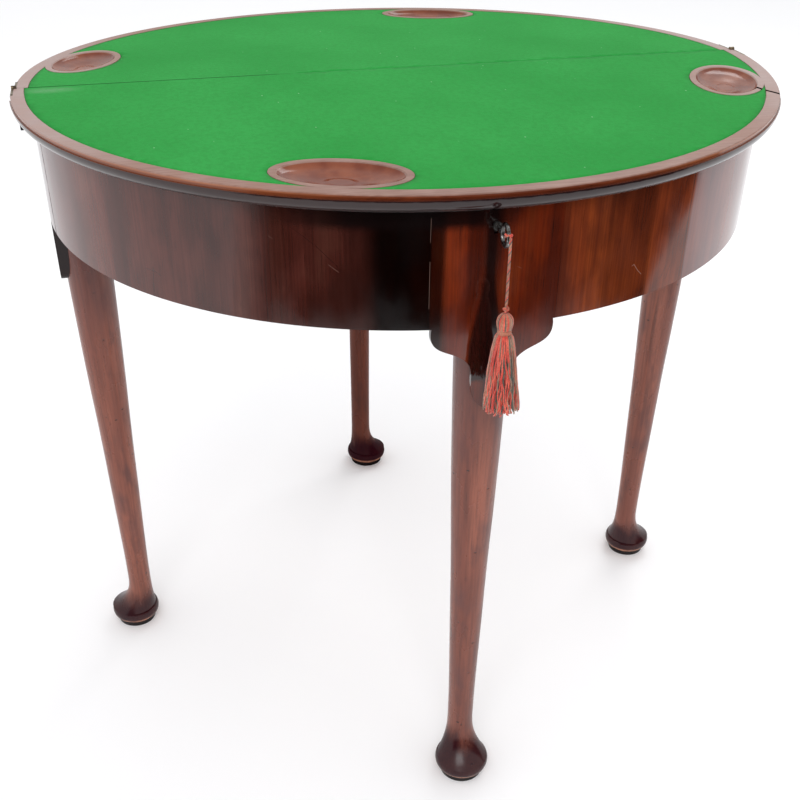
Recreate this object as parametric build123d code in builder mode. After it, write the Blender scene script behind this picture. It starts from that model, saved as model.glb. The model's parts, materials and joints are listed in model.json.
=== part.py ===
from build123d import *
import math
import os

# A fold-over card table with a half-round frame, shown open.
# The key and the centre leg are at -Y, and the leaf that folds over is at +Y.
# Widths and depths are measured from the middle of the fold line, and heights from the floor.

# Top and frame.
table_height = 738
top_radius = 420
fold_leaf_margin = 4
leaf_thickness = 18
edge_overhang = 20
frieze_thickness = 22
frieze_height = 113
fold_droop_angle = 2.33

# Edge moulding and playing surface of both leaves.
edge_flat_height = 4.8
edge_step = 1.4
edge_arris = 0.6
rim_width = 15.5
baize_recess = 1.4
baize_thickness = 1.2
fold_gap = 0.3
fold_lift = 0.2

# Counter wells, cut in the playing surface.
well_length = 128
well_width = 78
well_lip = 6.5
well_depth = 8
well_inset = 54
first_well_angle = 69.5
well_spacing_angle = 90
dish_section_shares = [(1, 1, 0), (0.95, 0.94, 0.32), (0.81, 0.79, 0.64), (0.56, 0.52, 0.88), (0.25, 0.2, 1)]

# Legs.
post_size = 54
post_inset = 6
corner_post_setback = 10
ankle_radius = 15
foot_offset = 14
foot_radius = 32
foot_height = 24
foot_base_radius = 25.5
foot_base_height = 6.5
foot_top_inset = 1.4
flare_power = 3
flare_steps = 7
leg_height_shares = [1, 0.787, 0.646, 0.516, 0.372, 0.231, 0.135]
leg_girth_shares = [1, 0.84, 0.65, 0.42, 0.24, 0.06, 0]
foot_bulge_share = 0.68
corner_foot_angle = 35
front_foot_angle = -90

# Panels that face the frame, with the apron, tongue and lappets that hang below them.
centre_panel_width = 120
apron_width = 116
apron_thickness = 10
apron_drop = 85
lappet_width = 50
lappet_drop = 80
lappet_lap = 14
stile_angle = 12
apron_outline_shares = [(1, 0), (0.88, 0.24), (0.54, 0.345), (0.37, 0.46), (0.33, 0.7), (0.19, 0.95), (0, 1)]
lappet_outline_shares = [(1, 0), (0.83, 0.16), (0.76, 0.42), (0.7, 0.7), (0.42, 0.95), (0, 1)]

# Rails at the back, and the swinging gate.
back_rail_thickness = 18
back_rail_height = 104
gate_rail_thickness = 20
gate_rail_height = 76
gate_pivot_x = 8
gate_post_size = 48
gate_closed_gap = 2.5
gate_pin_radius = 3
gate_pin_clearance = 0.06
gate_foot_angle = 37
gate_girth_shares = [1, 0.68, 0.4, 0.18, 0.08, 0.02, 0]
knuckle_count = 5
knuckle_gap = 0.4
rail_gap = 0.2
leaf_rest_gap = 0.3
joint_clearance = 0.1

# Storage well under the fixed leaf.
floor_thickness = 8
floor_clearance = 0.3
bearer_height = 10
bearer_width = 12
bearer_angle = 14
bearer_angles = [-155, -132, -109, -71, -48, -25]
glue_block_width = 15
glue_block_angle = 3
glue_block_foot_gap = 11
rim_block_reach = 14
rim_block_height = 18
rim_block_angle = 4
lid_hinge_width = 50
lid_hinge_depth = 14
lid_hinge_thickness = 1.5
lid_barrel_radius = 2.4
lid_hinge_x = 180

# Edge hinges at the two ends of the fold line.
hinge_plate_thickness = 2.5
hinge_plate_length = 30
hinge_plate_depth = 10
hinge_seat_width = 20
hinge_rim_inset = 2.6
hinge_side_gap = 0.2
hinge_ear_radius = 2.4
hinge_ear_clearance = 0.4
hinge_pin_radius = 1
hinge_screw_radius = 1.2
hinge_screw_head_radius = 2.3
hinge_screw_length = 12
hinge_screw_shares = [0.34, 0.76]
pin_clearance = 0.05
seat_clearance = 0.1

# Box lock in the head of the centre leg.
lock_x = -3.5
key_drop = 35.6
lock_setback = 5.2
lock_width = 34
lock_thickness = 12.6
lock_height = 37.8
lock_wall = 1.5
lock_plate_width = 46
bolt_width = 28
bolt_thickness = 5
bolt_foot = 3.2
bolt_head_width = 16
bolt_head_rise = 5.5
bolt_throw = 6
bolt_clearance = 0.3
strike_width = 42
strike_depth = 15
strike_thickness = 1.5
lock_screw_radius = 1.2
lock_screw_head_radius = 2.1
lock_screw_length = 12

# Key, and the keyhole that it stands in.
key_shank_radius = 2.5
key_reach = 34
key_bow_length = 20
key_bow_height = 21.5
key_bow_bar = 3.4
key_bow_rounding = 1.2
key_collar_radius = 4.2
key_collar_length = 3
key_collar_gap = 1
key_bit_width = 8.4
key_bit_thickness = 2.2
key_bit_reach = 4.4
keyhole_clearance = 0.5
keyhole_slot_width = 3.2

# Loop, cord and tassel on the key. The cord's points are measured from the middle of the loop's knot.
grip_angle = 18
loop_radius = 2.9
loop_strand_radius = 0.9
loop_knot_radius = 1.6
loop_knot_girth_radius = 1.45
swing_gap = 0.2
cord_radius = 1.25
cord_route = [(0, -0.17, -1.79), (0, -0.74, -8), (0, -0.74, -63.1)]
cord_run_share = 0.45
knot_radius = 3.2
knot_girth_radius = 3
knot_gap = 0.3
head_radius = 7.4
head_height = 14.5
binding_radius = 6.3
binding_height = 5
skirt_height = 77
skirt_hem_radius = 16.5
skirt_shoulder_shares = (0.75, 0.3)

# One overrun serves every cut that goes right through.
overrun = 2

os.makedirs("parts", exist_ok=True)

# Levels and places worked out from the sizes above.
fold_leaf_radius = top_radius - fold_leaf_margin
frieze_radius = top_radius - edge_overhang
frieze_inside = frieze_radius - frieze_thickness
frieze_top = table_height - leaf_thickness
frieze_bottom = frieze_top - frieze_height
fold_droop = math.radians(fold_droop_angle)
fold_line_y = (frieze_radius + key_reach - fold_leaf_radius * math.cos(fold_droop)) / 2
post_face = frieze_radius - post_inset
post_centre = post_face - post_size / 2
corner_back = post_size / 2 - corner_post_setback
key_height = table_height - key_drop


def spot(x, y, height=0):
    # A place measured from the middle of the fold line and from the floor.
    return Vector(x, fold_line_y + y, height)


def level(height):
    # A plane at a height above the floor, drawn on from above.
    return Plane(origin=spot(0, 0, height), x_dir=(1, 0, 0), z_dir=(0, 0, 1))


def front(y):
    # An upright plane that faces the key's side, with X to the right and Y up.
    return Plane(origin=spot(0, y), x_dir=(1, 0, 0), z_dir=(0, -1, 0))


def flank(x):
    # An upright plane that faces the right-hand end, with X towards the back and Y up.
    return Plane(origin=spot(x, 0), x_dir=(0, 1, 0), z_dir=(1, 0, 0))


def save(piece, name):
    piece.label = name
    export_step(piece, "parts/" + name + ".step")


def sector(outer, inner, start_angle, end_angle):
    # The face between two radii and two angles.
    with BuildSketch(mode=Mode.PRIVATE) as face:
        with BuildLine():
            outside = CenterArc((0, 0), outer, start_angle, end_angle - start_angle)
            inside = CenterArc((0, 0), inner, start_angle, end_angle - start_angle)
            Line(outside @ 0, inside @ 0)
            Line(outside @ 1, inside @ 1)
        make_face()
    return face.sketch


# The two leaves are the same board. Each is drawn from its own fold edge outwards.
fixed_surface = Plane(origin=spot(0, 0, table_height), x_dir=(-1, 0, 0), z_dir=(0, 0, 1))
hinge_axis_spot = spot(0, 0, table_height + fold_lift)
fold_up = Vector(0, math.sin(fold_droop), math.cos(fold_droop))
fold_surface = Plane(origin=hinge_axis_spot - fold_up * fold_lift, x_dir=(1, 0, 0), z_dir=fold_up)
fold_underside = fold_surface.offset(-leaf_thickness - leaf_rest_gap)


def well_spots(radius):
    # Middle and turn of each counter well on a leaf's surface.
    for step in (0, 1):
        turn = first_well_angle + step * well_spacing_angle
        angle = math.radians(turn)
        yield (top_radius - well_inset) * math.cos(angle), (top_radius - well_inset) * math.sin(angle), turn


def leaf_board(surface, radius, hinge_reach):
    # hinge_reach is how far out the inner faces of this leaf's hinge plates lie.
    section = Plane(origin=surface.origin, x_dir=surface.x_dir, z_dir=-surface.y_dir)
    round_radius = leaf_thickness - edge_flat_height
    with BuildPart() as board:
        with BuildSketch(section):
            with BuildLine():
                Polyline((0, -leaf_thickness), (0, 0), (radius - edge_step - edge_arris, 0),
                         (radius - edge_step, -edge_arris), (radius - edge_step, -edge_flat_height),
                         (radius, -edge_flat_height))
                CenterArc((radius - round_radius, -edge_flat_height), round_radius, 0, -90)
                Line((radius - round_radius, -leaf_thickness), (0, -leaf_thickness))
            make_face()
        revolve(axis=Axis(surface.origin, surface.z_dir), revolution_arc=360)
        # The fold edge is cut upright, so that a leaf that slopes clears the other one.
        split(bisect_by=Plane(origin=surface.origin + Vector(0, surface.y_dir.Y, 0).normalized() * fold_gap,
                              z_dir=(0, surface.y_dir.Y, 0)), keep=Keep.TOP)
        with BuildSketch(surface):
            Circle(radius - rim_width)
            for x, y, turn in well_spots(radius):
                with Locations(Location((x, y), turn)):
                    Ellipse(well_width / 2, well_length / 2, mode=Mode.SUBTRACT)
        extrude(amount=-baize_recess, mode=Mode.SUBTRACT)
        for x, y, turn in well_spots(radius):
            for width_share, length_share, depth_share in dish_section_shares:
                with BuildSketch(surface.offset(-well_depth * depth_share)):
                    with Locations(Location((x, y), turn)):
                        Ellipse((well_width / 2 - well_lip) * width_share, (well_length / 2 - well_lip) * length_share)
            loft(mode=Mode.SUBTRACT)
        for side in (-1, 1):
            # The seat of the hinge plate is open at the rim, and the ears turn in a round pocket.
            with BuildSketch(surface):
                with Locations((side * (hinge_reach - seat_clearance + hinge_seat_width / 2), 0)):
                    Rectangle(hinge_seat_width, 2 * (hinge_plate_length + seat_clearance))
            extrude(amount=-hinge_plate_depth - seat_clearance, mode=Mode.SUBTRACT)
            with BuildSketch(hinge_section(surface, side, moving_plate_reach - hinge_side_gap, hinge_seat_width)):
                with Locations((0, fold_lift)):
                    Circle(hinge_ear_radius + hinge_ear_clearance)
            extrude(amount=hinge_seat_width, mode=Mode.SUBTRACT)
            for y, height in hinge_screw_spots():
                with BuildSketch(hinge_section(surface, side, hinge_reach - hinge_screw_length, hinge_screw_length)):
                    with Locations((y, height)):
                        Circle(hinge_screw_radius + pin_clearance)
                extrude(amount=hinge_screw_length, mode=Mode.SUBTRACT)
    return board.part


def hinge_screw_spots():
    return [(hinge_plate_length * share, -hinge_plate_depth / 2) for share in hinge_screw_shares]


def hinge_section(surface, side, reach, thickness):
    # A plane across the fold axis, where a slice of this thickness starts, with X along the leaf and Y up.
    start = reach if side > 0 else -reach - thickness
    return Plane(origin=surface.origin + surface.x_dir * start, x_dir=surface.y_dir, z_dir=surface.x_dir)


moving_plate_reach = fold_leaf_radius - hinge_rim_inset - 0.5 * hinge_plate_thickness
fixed_plate_reach = moving_plate_reach + hinge_plate_thickness + hinge_side_gap


def hinge_plate(surface, side, reach, bore_clearance):
    # A plate let into the end of a leaf, with an ear round the fold axis.
    with BuildPart() as plate:
        with BuildSketch(hinge_section(surface, side, reach, hinge_plate_thickness)):
            with Locations(((hinge_plate_length + fold_gap) / 2, -hinge_plate_depth / 2)):
                Rectangle(hinge_plate_length - fold_gap, hinge_plate_depth)
            with Locations((0, fold_lift)):
                Circle(hinge_ear_radius)
                Circle(hinge_pin_radius + bore_clearance, mode=Mode.SUBTRACT)
        extrude(amount=hinge_plate_thickness)
        outer_face = Plane(origin=surface.origin + surface.x_dir * side * (reach + hinge_plate_thickness),
                           x_dir=surface.y_dir, z_dir=surface.x_dir * side)
        for y, height in hinge_screw_spots():
            hole = outer_face.to_local_coords(surface.origin + surface.y_dir * y + surface.z_dir * height)
            with Locations(outer_face):
                with Locations((hole.X, hole.Y)):
                    CounterSinkHole(hinge_screw_radius + pin_clearance, hinge_screw_head_radius + pin_clearance)
    return plate.part


def screws(places, length, radius, head_radius):
    # Countersunk screws, each going in along the minus Z of its plane.
    with BuildPart() as group:
        for place in places:
            half = Plane(origin=place.origin, x_dir=place.x_dir, z_dir=-place.y_dir)
            with BuildSketch(half):
                with BuildLine():
                    Polyline((0, 0), (head_radius, 0), (radius, radius - head_radius), (radius, radius - length),
                             (0, -length), close=True)
                make_face()
            revolve(axis=Axis(place.origin, place.z_dir), revolution_arc=360)
    return group.part


def hinge_screws(surface, reach):
    places = []
    for side in (-1, 1):
        for y, height in hinge_screw_spots():
            head = surface.origin + surface.x_dir * side * (reach + hinge_plate_thickness)
            places.append(Plane(origin=head + surface.y_dir * y + surface.z_dir * height,
                                x_dir=surface.y_dir, z_dir=surface.x_dir * side))
    return screws(places, hinge_screw_length, hinge_screw_radius, hinge_screw_head_radius)


def baize_sheet(surface, radius):
    # The cloth lies in its recess and is cut round the wells.
    with BuildPart() as sheet:
        with BuildSketch(surface.offset(-baize_recess)):
            Circle(radius - rim_width - seat_clearance)
            with Locations((0, -radius / 2 + fold_gap + seat_clearance)):
                Rectangle(2 * radius, radius, mode=Mode.SUBTRACT)
            for x, y, turn in well_spots(radius):
                with Locations(Location((x, y), turn)):
                    Ellipse(well_width / 2 + seat_clearance, well_length / 2 + seat_clearance, mode=Mode.SUBTRACT)
        extrude(amount=baize_thickness)
    return sheet.part


# Lock places, shared by the leaf, the leg, the panel and the lock itself.
lock_front = -post_face + lock_setback
lock_middle = lock_front + lock_thickness / 2
bit_sweep = key_shank_radius + key_bit_reach
lock_screw_x = (lock_width / 2 + lock_plate_width / 2) / 2


def keyhole():
    # The round hole for the shank with the slot for the bit below it, as drawn on an upright front plane.
    with BuildSketch(mode=Mode.PRIVATE) as hole:
        with Locations((lock_x, key_height)):
            Circle(key_shank_radius + keyhole_clearance)
        with Locations((lock_x, key_height - bit_sweep / 2)):
            Rectangle(keyhole_slot_width, bit_sweep + 2 * keyhole_clearance)
    return hole.sketch



with BuildPart() as fixed_leaf:
    add(leaf_board(fixed_surface, top_radius, fixed_plate_reach))
    with BuildSketch(level(frieze_top)):
        with Locations((lock_x, lock_middle)):
            Rectangle(strike_width + 2 * seat_clearance, strike_depth + 2 * seat_clearance)
    extrude(amount=strike_thickness + seat_clearance, mode=Mode.SUBTRACT)
    with BuildSketch(level(frieze_top)):
        with Locations((lock_x, lock_middle)):
            Rectangle(bolt_head_width + 2 * bolt_clearance, bolt_thickness + 2 * bolt_clearance)
    extrude(amount=bolt_head_rise + bolt_clearance, mode=Mode.SUBTRACT)
save(fixed_leaf.part, "fixed_leaf")

with BuildPart() as fold_leaf:
    add(leaf_board(fold_surface, fold_leaf_radius, moving_plate_reach))
save(fold_leaf.part, "fold_leaf")

save(baize_sheet(fixed_surface, top_radius), "fixed_baize")
save(baize_sheet(fold_surface, fold_leaf_radius), "fold_baize")

for side, name in ((1, "left"), (-1, "right")):
    save(hinge_plate(fixed_surface, side, fixed_plate_reach, pin_clearance), "fixed_hinge_" + name)
    save(hinge_plate(fold_surface, -side, moving_plate_reach, pin_clearance), "fold_hinge_" + name)
save(hinge_screws(fixed_surface, fixed_plate_reach), "fixed_hinge_screws")
save(hinge_screws(fold_surface, moving_plate_reach), "fold_hinge_screws")

with BuildPart() as fold_hinge_pins:
    for side in (-1, 1):
        pin_length = 2 * hinge_plate_thickness + hinge_side_gap
        with BuildSketch(hinge_section(fixed_surface, side, moving_plate_reach, pin_length)):
            with Locations((0, fold_lift)):
                Circle(hinge_pin_radius)
        extrude(amount=pin_length)
save(fold_hinge_pins.part, "fold_hinge_pins")


# Legs: a square post, a turned shaft, and a pad foot set outwards.
def leg_solid(x, y, width, top, foot_angle, girth_shares):
    angle = math.radians(foot_angle)
    outward = Vector(math.cos(angle), math.sin(angle), 0)
    ankle_height = frieze_bottom * leg_height_shares[-1]
    flare_girth = foot_radius - foot_top_inset - ankle_radius
    flare_throw = foot_offset + foot_top_inset
    pad_middle = spot(x, y) + outward * foot_offset
    with BuildPart() as leg:
        with BuildSketch(Plane(origin=spot(x, y), x_dir=outward, z_dir=(outward.Y, -outward.X, 0))):
            with BuildLine():
                side = Spline(*[(ankle_radius + (width / 2 - ankle_radius) * girth_share, frieze_bottom * height_share)
                                for height_share, girth_share in zip(leg_height_shares, girth_shares)],
                              tangents=[(0, -1), (0, -1)])
                Polyline(side @ 1, (0, ankle_height), (0, frieze_bottom), side @ 0)
            make_face()
        revolve(axis=Axis(spot(x, y), (0, 0, 1)), revolution_arc=360)
        for step in range(flare_steps + 1):
            part_way = step / flare_steps
            height = ankle_height + (foot_height - ankle_height) * part_way
            flare = part_way ** flare_power
            with BuildSketch(Plane(origin=spot(x, y, height) + outward * flare_throw * flare)):
                Circle(ankle_radius + flare_girth * flare)
        loft()
        with BuildSketch(Plane(origin=pad_middle, x_dir=outward, z_dir=(outward.Y, -outward.X, 0))):
            with BuildLine():
                base = Polyline((0, foot_height), (0, 0), (foot_base_radius, 0), (foot_base_radius, foot_base_height))
                bulge = ThreePointArc(base @ 1, (foot_radius, foot_height * foot_bulge_share),
                                      (foot_radius - foot_top_inset, foot_height))
                Line(bulge @ 1, base @ 0)
            make_face()
        revolve(axis=Axis(pad_middle, (0, 0, 1)), revolution_arc=360)
        with BuildSketch(Plane(origin=spot(x, y, frieze_bottom))):
            Rectangle(width, width)
        extrude(amount=top - frieze_bottom)
        split(bisect_by=fold_underside, keep=Keep.BOTTOM)
    return leg.part


with BuildPart() as front_leg:
    add(leg_solid(0, -post_centre, post_size, frieze_top, front_foot_angle, leg_girth_shares))
    with BuildSketch(level(frieze_top)):
        with Locations((lock_x, lock_middle)):
            Rectangle(lock_width + 2 * joint_clearance, lock_thickness + 2 * joint_clearance)
    extrude(amount=-lock_height - joint_clearance, mode=Mode.SUBTRACT)
    with BuildSketch(level(frieze_top)):
        with Locations((lock_x, lock_middle)):
            Rectangle(lock_plate_width + 2 * joint_clearance, lock_thickness + 2 * joint_clearance)
    extrude(amount=-lock_wall - joint_clearance, mode=Mode.SUBTRACT)
    with BuildSketch(level(frieze_top)):
        with Locations((lock_x - lock_screw_x, lock_middle), (lock_x + lock_screw_x, lock_middle)):
            Circle(lock_screw_radius + pin_clearance)
    extrude(amount=-lock_screw_length - overrun, mode=Mode.SUBTRACT)
    with BuildSketch(front(lock_front)):
        add(keyhole())
    extrude(amount=lock_setback + overrun, mode=Mode.SUBTRACT)
save(front_leg.part, "front_leg")

left_leg = leg_solid(-post_centre, -corner_post_setback, post_size, frieze_top, 180 - corner_foot_angle, leg_girth_shares)
right_leg = leg_solid(post_centre, -corner_post_setback, post_size, frieze_top, corner_foot_angle, leg_girth_shares)
save(left_leg, "left_leg")
save(right_leg, "right_leg")

# Frieze: two curved lengths, a centre panel before the front leg, and a stile round each corner leg.
panel_angle = math.degrees(math.asin(centre_panel_width / 2 / frieze_radius))


def frieze_length(start_angle, end_angle):
    with BuildPart() as length:
        with BuildSketch(level(frieze_bottom)):
            add(sector(frieze_radius, frieze_inside, start_angle, end_angle))
        extrude(amount=frieze_height)
    return length.part


save(frieze_length(-180 + stile_angle, -90 - panel_angle), "frieze_left")
save(frieze_length(-90 + panel_angle, -stile_angle), "frieze_right")

with BuildPart() as frieze_centre:
    add(frieze_length(-90 - panel_angle, -90 + panel_angle))
    with BuildSketch(level(frieze_bottom)):
        with Locations((0, -post_centre)):
            Rectangle(post_size + 2 * joint_clearance, post_size + 2 * joint_clearance)
    extrude(amount=frieze_height, mode=Mode.SUBTRACT)
    with BuildSketch(front(-post_face)):
        add(keyhole())
    extrude(amount=post_inset + overrun, both=True, mode=Mode.SUBTRACT)
save(frieze_centre.part, "frieze_centre")


def drop_outline(half_width, top, drop, shares):
    # The face of a hanging piece, the same on both sides.
    right = [(half_width * across, top - drop * down) for across, down in shares]
    left = [(-x, y) for x, y in right[:-1]]
    with BuildSketch(mode=Mode.PRIVATE) as face:
        with BuildLine():
            curve = Spline(*left, *reversed(right))
            Line(curve @ 1, curve @ 0)
        make_face()
    return face.sketch


for side, name in ((-1, "left"), (1, "right")):
    with BuildPart() as stile:
        with BuildSketch(level(frieze_bottom)):
            if side > 0:
                add(sector(frieze_radius, frieze_inside, -stile_angle, 0))
            else:
                add(sector(frieze_radius, frieze_inside, -180, -180 + stile_angle))
            with Locations((side * (frieze_radius - frieze_thickness / 2), corner_back / 2)):
                Rectangle(frieze_thickness, corner_back)
        extrude(amount=frieze_height)
        with BuildSketch(level(frieze_bottom)):
            with Locations((side * post_centre, -corner_post_setback)):
                Rectangle(post_size + 2 * joint_clearance, post_size + 2 * joint_clearance)
        extrude(amount=frieze_height, mode=Mode.SUBTRACT)
        split(bisect_by=fold_underside, keep=Keep.BOTTOM)
    save(stile.part, "corner_stile_" + name)
    with BuildPart() as lappet:
        with BuildSketch(flank(side * (post_face - lappet_lap))):
            with Locations((-corner_post_setback, 0)):
                add(drop_outline(lappet_width / 2, frieze_bottom, lappet_drop, lappet_outline_shares))
        extrude(amount=side * (lappet_lap + post_inset))
        with BuildSketch(level(frieze_bottom)):
            Circle(frieze_radius)
        extrude(amount=-lappet_drop - overrun, mode=Mode.INTERSECT)
        # The back is hollowed to fit round the leg.
        add(left_leg if side < 0 else right_leg, mode=Mode.SUBTRACT)
    save(lappet.part, "lappet_" + name)
    with BuildPart() as rim_block:
        with BuildSketch(level(frieze_top)):
            if side > 0:
                add(sector(frieze_radius + rim_block_reach, frieze_radius, -rim_block_angle, 0))
            else:
                add(sector(frieze_radius + rim_block_reach, frieze_radius, -180, -180 + rim_block_angle))
        extrude(amount=-rim_block_height)
    save(rim_block.part, "rim_block_" + name)

with BuildPart() as centre_apron:
    with BuildSketch(front(-frieze_radius + apron_thickness)):
        add(drop_outline(apron_width / 2, frieze_bottom, apron_drop, apron_outline_shares))
    extrude(amount=apron_thickness + overrun)
    with BuildSketch(level(frieze_bottom)):
        Circle(frieze_radius)
        with Locations((0, -post_centre)):
            Rectangle(post_size + 2 * joint_clearance, post_size + 2 * joint_clearance, mode=Mode.SUBTRACT)
    extrude(amount=-apron_drop - overrun, mode=Mode.INTERSECT)
save(centre_apron.part, "centre_apron")

# Rails at the back. The gate turns on a wooden knuckle joint at the end of the fixed rail.
knuckle_radius = gate_rail_thickness / 2
gate_inner_face = corner_back - gate_rail_thickness
gate_pivot_y = gate_inner_face + knuckle_radius
gate_leg_offset = (gate_post_size - gate_rail_thickness) / 2
gate_arm = post_centre - post_size / 2 - gate_closed_gap - gate_post_size / 2 + gate_pivot_x
gate_leg_x = gate_pivot_x + gate_leg_offset
gate_leg_y = gate_pivot_y + gate_arm
gate_top = frieze_top - (gate_leg_y + gate_post_size / 2) * math.tan(fold_droop) - leaf_rest_gap
gate_bottom = gate_top - gate_rail_height
knuckle_height = gate_rail_height / knuckle_count
shoulder = knuckle_radius + knuckle_gap

with BuildPart() as back_rail:
    with BuildSketch(level(frieze_top)):
        with Locations((0, gate_inner_face - rail_gap - back_rail_thickness / 2)):
            Rectangle(2 * (post_centre - post_size / 2), back_rail_thickness)
    extrude(amount=-back_rail_height)
save(back_rail.part, "back_rail")


def knuckle_rail(direction, length, first):
    # A rail from the pivot outwards, with every second knuckle of the joint, counted from first.
    pivot = spot(gate_pivot_x, gate_pivot_y, gate_bottom)
    base = Plane(origin=pivot, x_dir=direction, z_dir=(0, 0, 1))
    with BuildPart() as rail:
        with BuildSketch(base):
            with Locations(((shoulder + length) / 2, 0)):
                Rectangle(length - shoulder, gate_rail_thickness)
        extrude(amount=gate_rail_height)
        for number in range(first, knuckle_count, 2):
            low = number * knuckle_height + (knuckle_gap / 2 if number > 0 else 0)
            high = (number + 1) * knuckle_height - (knuckle_gap / 2 if number < knuckle_count - 1 else 0)
            with BuildSketch(base.offset(low)):
                Circle(knuckle_radius)
                with Locations((shoulder / 2, 0)):
                    Rectangle(shoulder, gate_rail_thickness)
            extrude(amount=high - low)
        with BuildSketch(base):
            Circle(gate_pin_radius + gate_pin_clearance)
        extrude(amount=gate_rail_height, mode=Mode.SUBTRACT)
    return rail.part


save(knuckle_rail((1, 0, 0), post_centre - post_size / 2 - gate_pivot_x, 0), "gate_fixed_rail")
save(knuckle_rail((0, 1, 0), gate_arm - gate_post_size / 2, 1), "gate_rail")

with BuildPart() as gate_pin:
    with BuildSketch(Plane(origin=spot(gate_pivot_x, gate_pivot_y, gate_bottom))):
        Circle(gate_pin_radius)
    extrude(amount=gate_rail_height)
save(gate_pin.part, "gate_pin")

save(leg_solid(gate_leg_x, gate_leg_y, gate_post_size, gate_top, gate_foot_angle, gate_girth_shares), "gate_leg")

# Storage well: a floor on bearers, and glue blocks in the angles beside the posts.
floor_bottom = frieze_bottom + bearer_height
floor_back = gate_inner_face - rail_gap - back_rail_thickness - floor_clearance

with BuildPart() as well_floor:
    with BuildSketch(level(floor_bottom)):
        Circle(frieze_inside - floor_clearance)
        with Locations((0, frieze_radius / 2 + floor_back)):
            Rectangle(2 * frieze_radius, frieze_radius, mode=Mode.SUBTRACT)
        with Locations((0, -post_centre), (-post_centre, -corner_post_setback), (post_centre, -corner_post_setback)):
            Rectangle(post_size + 2 * floor_clearance, post_size + 2 * floor_clearance, mode=Mode.SUBTRACT)
    extrude(amount=floor_thickness)
save(well_floor.part, "well_floor")

with BuildPart() as floor_bearers:
    for angle in bearer_angles:
        with BuildSketch(level(frieze_bottom)):
            add(sector(frieze_inside, frieze_inside - bearer_width, angle - bearer_angle / 2, angle + bearer_angle / 2))
        extrude(amount=bearer_height)
save(floor_bearers.part, "floor_bearers")

with BuildPart() as glue_blocks:
    block_inside = frieze_inside - glue_block_width
    block_height = frieze_top - glue_block_foot_gap - floor_bottom - floor_thickness
    front_start = math.degrees(math.asin((post_size / 2 + joint_clearance) / block_inside))
    corner_start = math.degrees(math.asin((corner_post_setback + post_size / 2 + joint_clearance) / block_inside))
    for angle in (-90 - front_start - glue_block_angle, -90 + front_start, -180 + corner_start,
                  -corner_start - glue_block_angle):
        with BuildSketch(level(frieze_top)):
            add(sector(frieze_inside, block_inside, angle, angle + glue_block_angle))
        extrude(amount=-block_height)
save(glue_blocks.part, "glue_blocks")

with BuildPart() as lid_hinges:
    for x in (-lid_hinge_x, lid_hinge_x):
        with BuildSketch(flank(x - lid_hinge_width / 2)):
            back = gate_inner_face - rail_gap - back_rail_thickness
            with BuildLine():
                Polyline((back, frieze_top), (back - lid_hinge_depth, frieze_top),
                         (back - lid_hinge_depth, frieze_top - lid_hinge_thickness),
                         (back - lid_hinge_thickness, frieze_top - lid_hinge_thickness),
                         (back - lid_hinge_thickness, frieze_top - lid_hinge_depth),
                         (back, frieze_top - lid_hinge_depth), close=True)
            make_face()
            with Locations((back - lid_barrel_radius, frieze_top - lid_barrel_radius)):
                Circle(lid_barrel_radius)
        extrude(amount=lid_hinge_width)
save(lid_hinges.part, "lid_hinges")

# Lock: an open case under a top plate, a bolt that slides up through it, and a strike plate in the leaf.
case_bottom = frieze_top - lock_height
bolt_top = frieze_top - lock_wall - bolt_clearance
window_half = bit_sweep + bolt_clearance

with BuildPart() as lock_case:
    with BuildSketch(level(case_bottom)):
        with Locations((lock_x, lock_middle)):
            Rectangle(lock_width, lock_thickness)
    extrude(amount=lock_height - lock_wall)
    with BuildSketch(level(case_bottom + lock_wall)):
        with Locations((lock_x, lock_middle)):
            Rectangle(lock_width - 2 * lock_wall, lock_thickness - 2 * lock_wall)
    extrude(amount=lock_height - 2 * lock_wall, mode=Mode.SUBTRACT)
    with BuildSketch(level(frieze_top - lock_wall)):
        with Locations((lock_x, lock_middle)):
            Rectangle(lock_plate_width, lock_thickness)
            Rectangle(bolt_head_width + 2 * bolt_clearance, bolt_thickness + 2 * bolt_clearance, mode=Mode.SUBTRACT)
    extrude(amount=lock_wall)
    with Locations(level(frieze_top)):
        with Locations((lock_x - lock_screw_x, lock_middle), (lock_x + lock_screw_x, lock_middle)):
            CounterSinkHole(lock_screw_radius + pin_clearance, lock_screw_head_radius + pin_clearance,
                            depth=lock_wall + overrun)
    with BuildSketch(front(lock_front)):
        add(keyhole())
    extrude(amount=-2 * lock_wall, mode=Mode.SUBTRACT)
save(lock_case.part, "lock_case")

with BuildPart() as lock_bolt:
    with BuildSketch(front(lock_middle)):
        bolt_low = key_height - window_half - bolt_foot
        with Locations((lock_x, (bolt_low + bolt_top) / 2)):
            Rectangle(bolt_width, bolt_top - bolt_low)
        with Locations((lock_x, key_height + bolt_throw / 2)):
            Rectangle(2 * window_half, 2 * window_half + bolt_throw, mode=Mode.SUBTRACT)
        with Locations((lock_x, (bolt_top + frieze_top + bolt_head_rise) / 2)):
            Rectangle(bolt_head_width, frieze_top + bolt_head_rise - bolt_top)
    extrude(amount=bolt_thickness / 2, both=True)
save(lock_bolt.part, "lock_bolt")

with BuildPart() as strike_plate:
    with BuildSketch(level(frieze_top)):
        with Locations((lock_x, lock_middle)):
            Rectangle(strike_width, strike_depth)
            Rectangle(bolt_head_width + 2 * bolt_clearance, bolt_thickness + 2 * bolt_clearance, mode=Mode.SUBTRACT)
    extrude(amount=strike_thickness)
save(strike_plate.part, "strike_plate")

lock_screw_places = [Plane(origin=spot(lock_x + side * lock_screw_x, lock_middle, frieze_top)) for side in (-1, 1)]
save(screws(lock_screw_places, lock_screw_length, lock_screw_radius, lock_screw_head_radius), "lock_screws")

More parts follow.
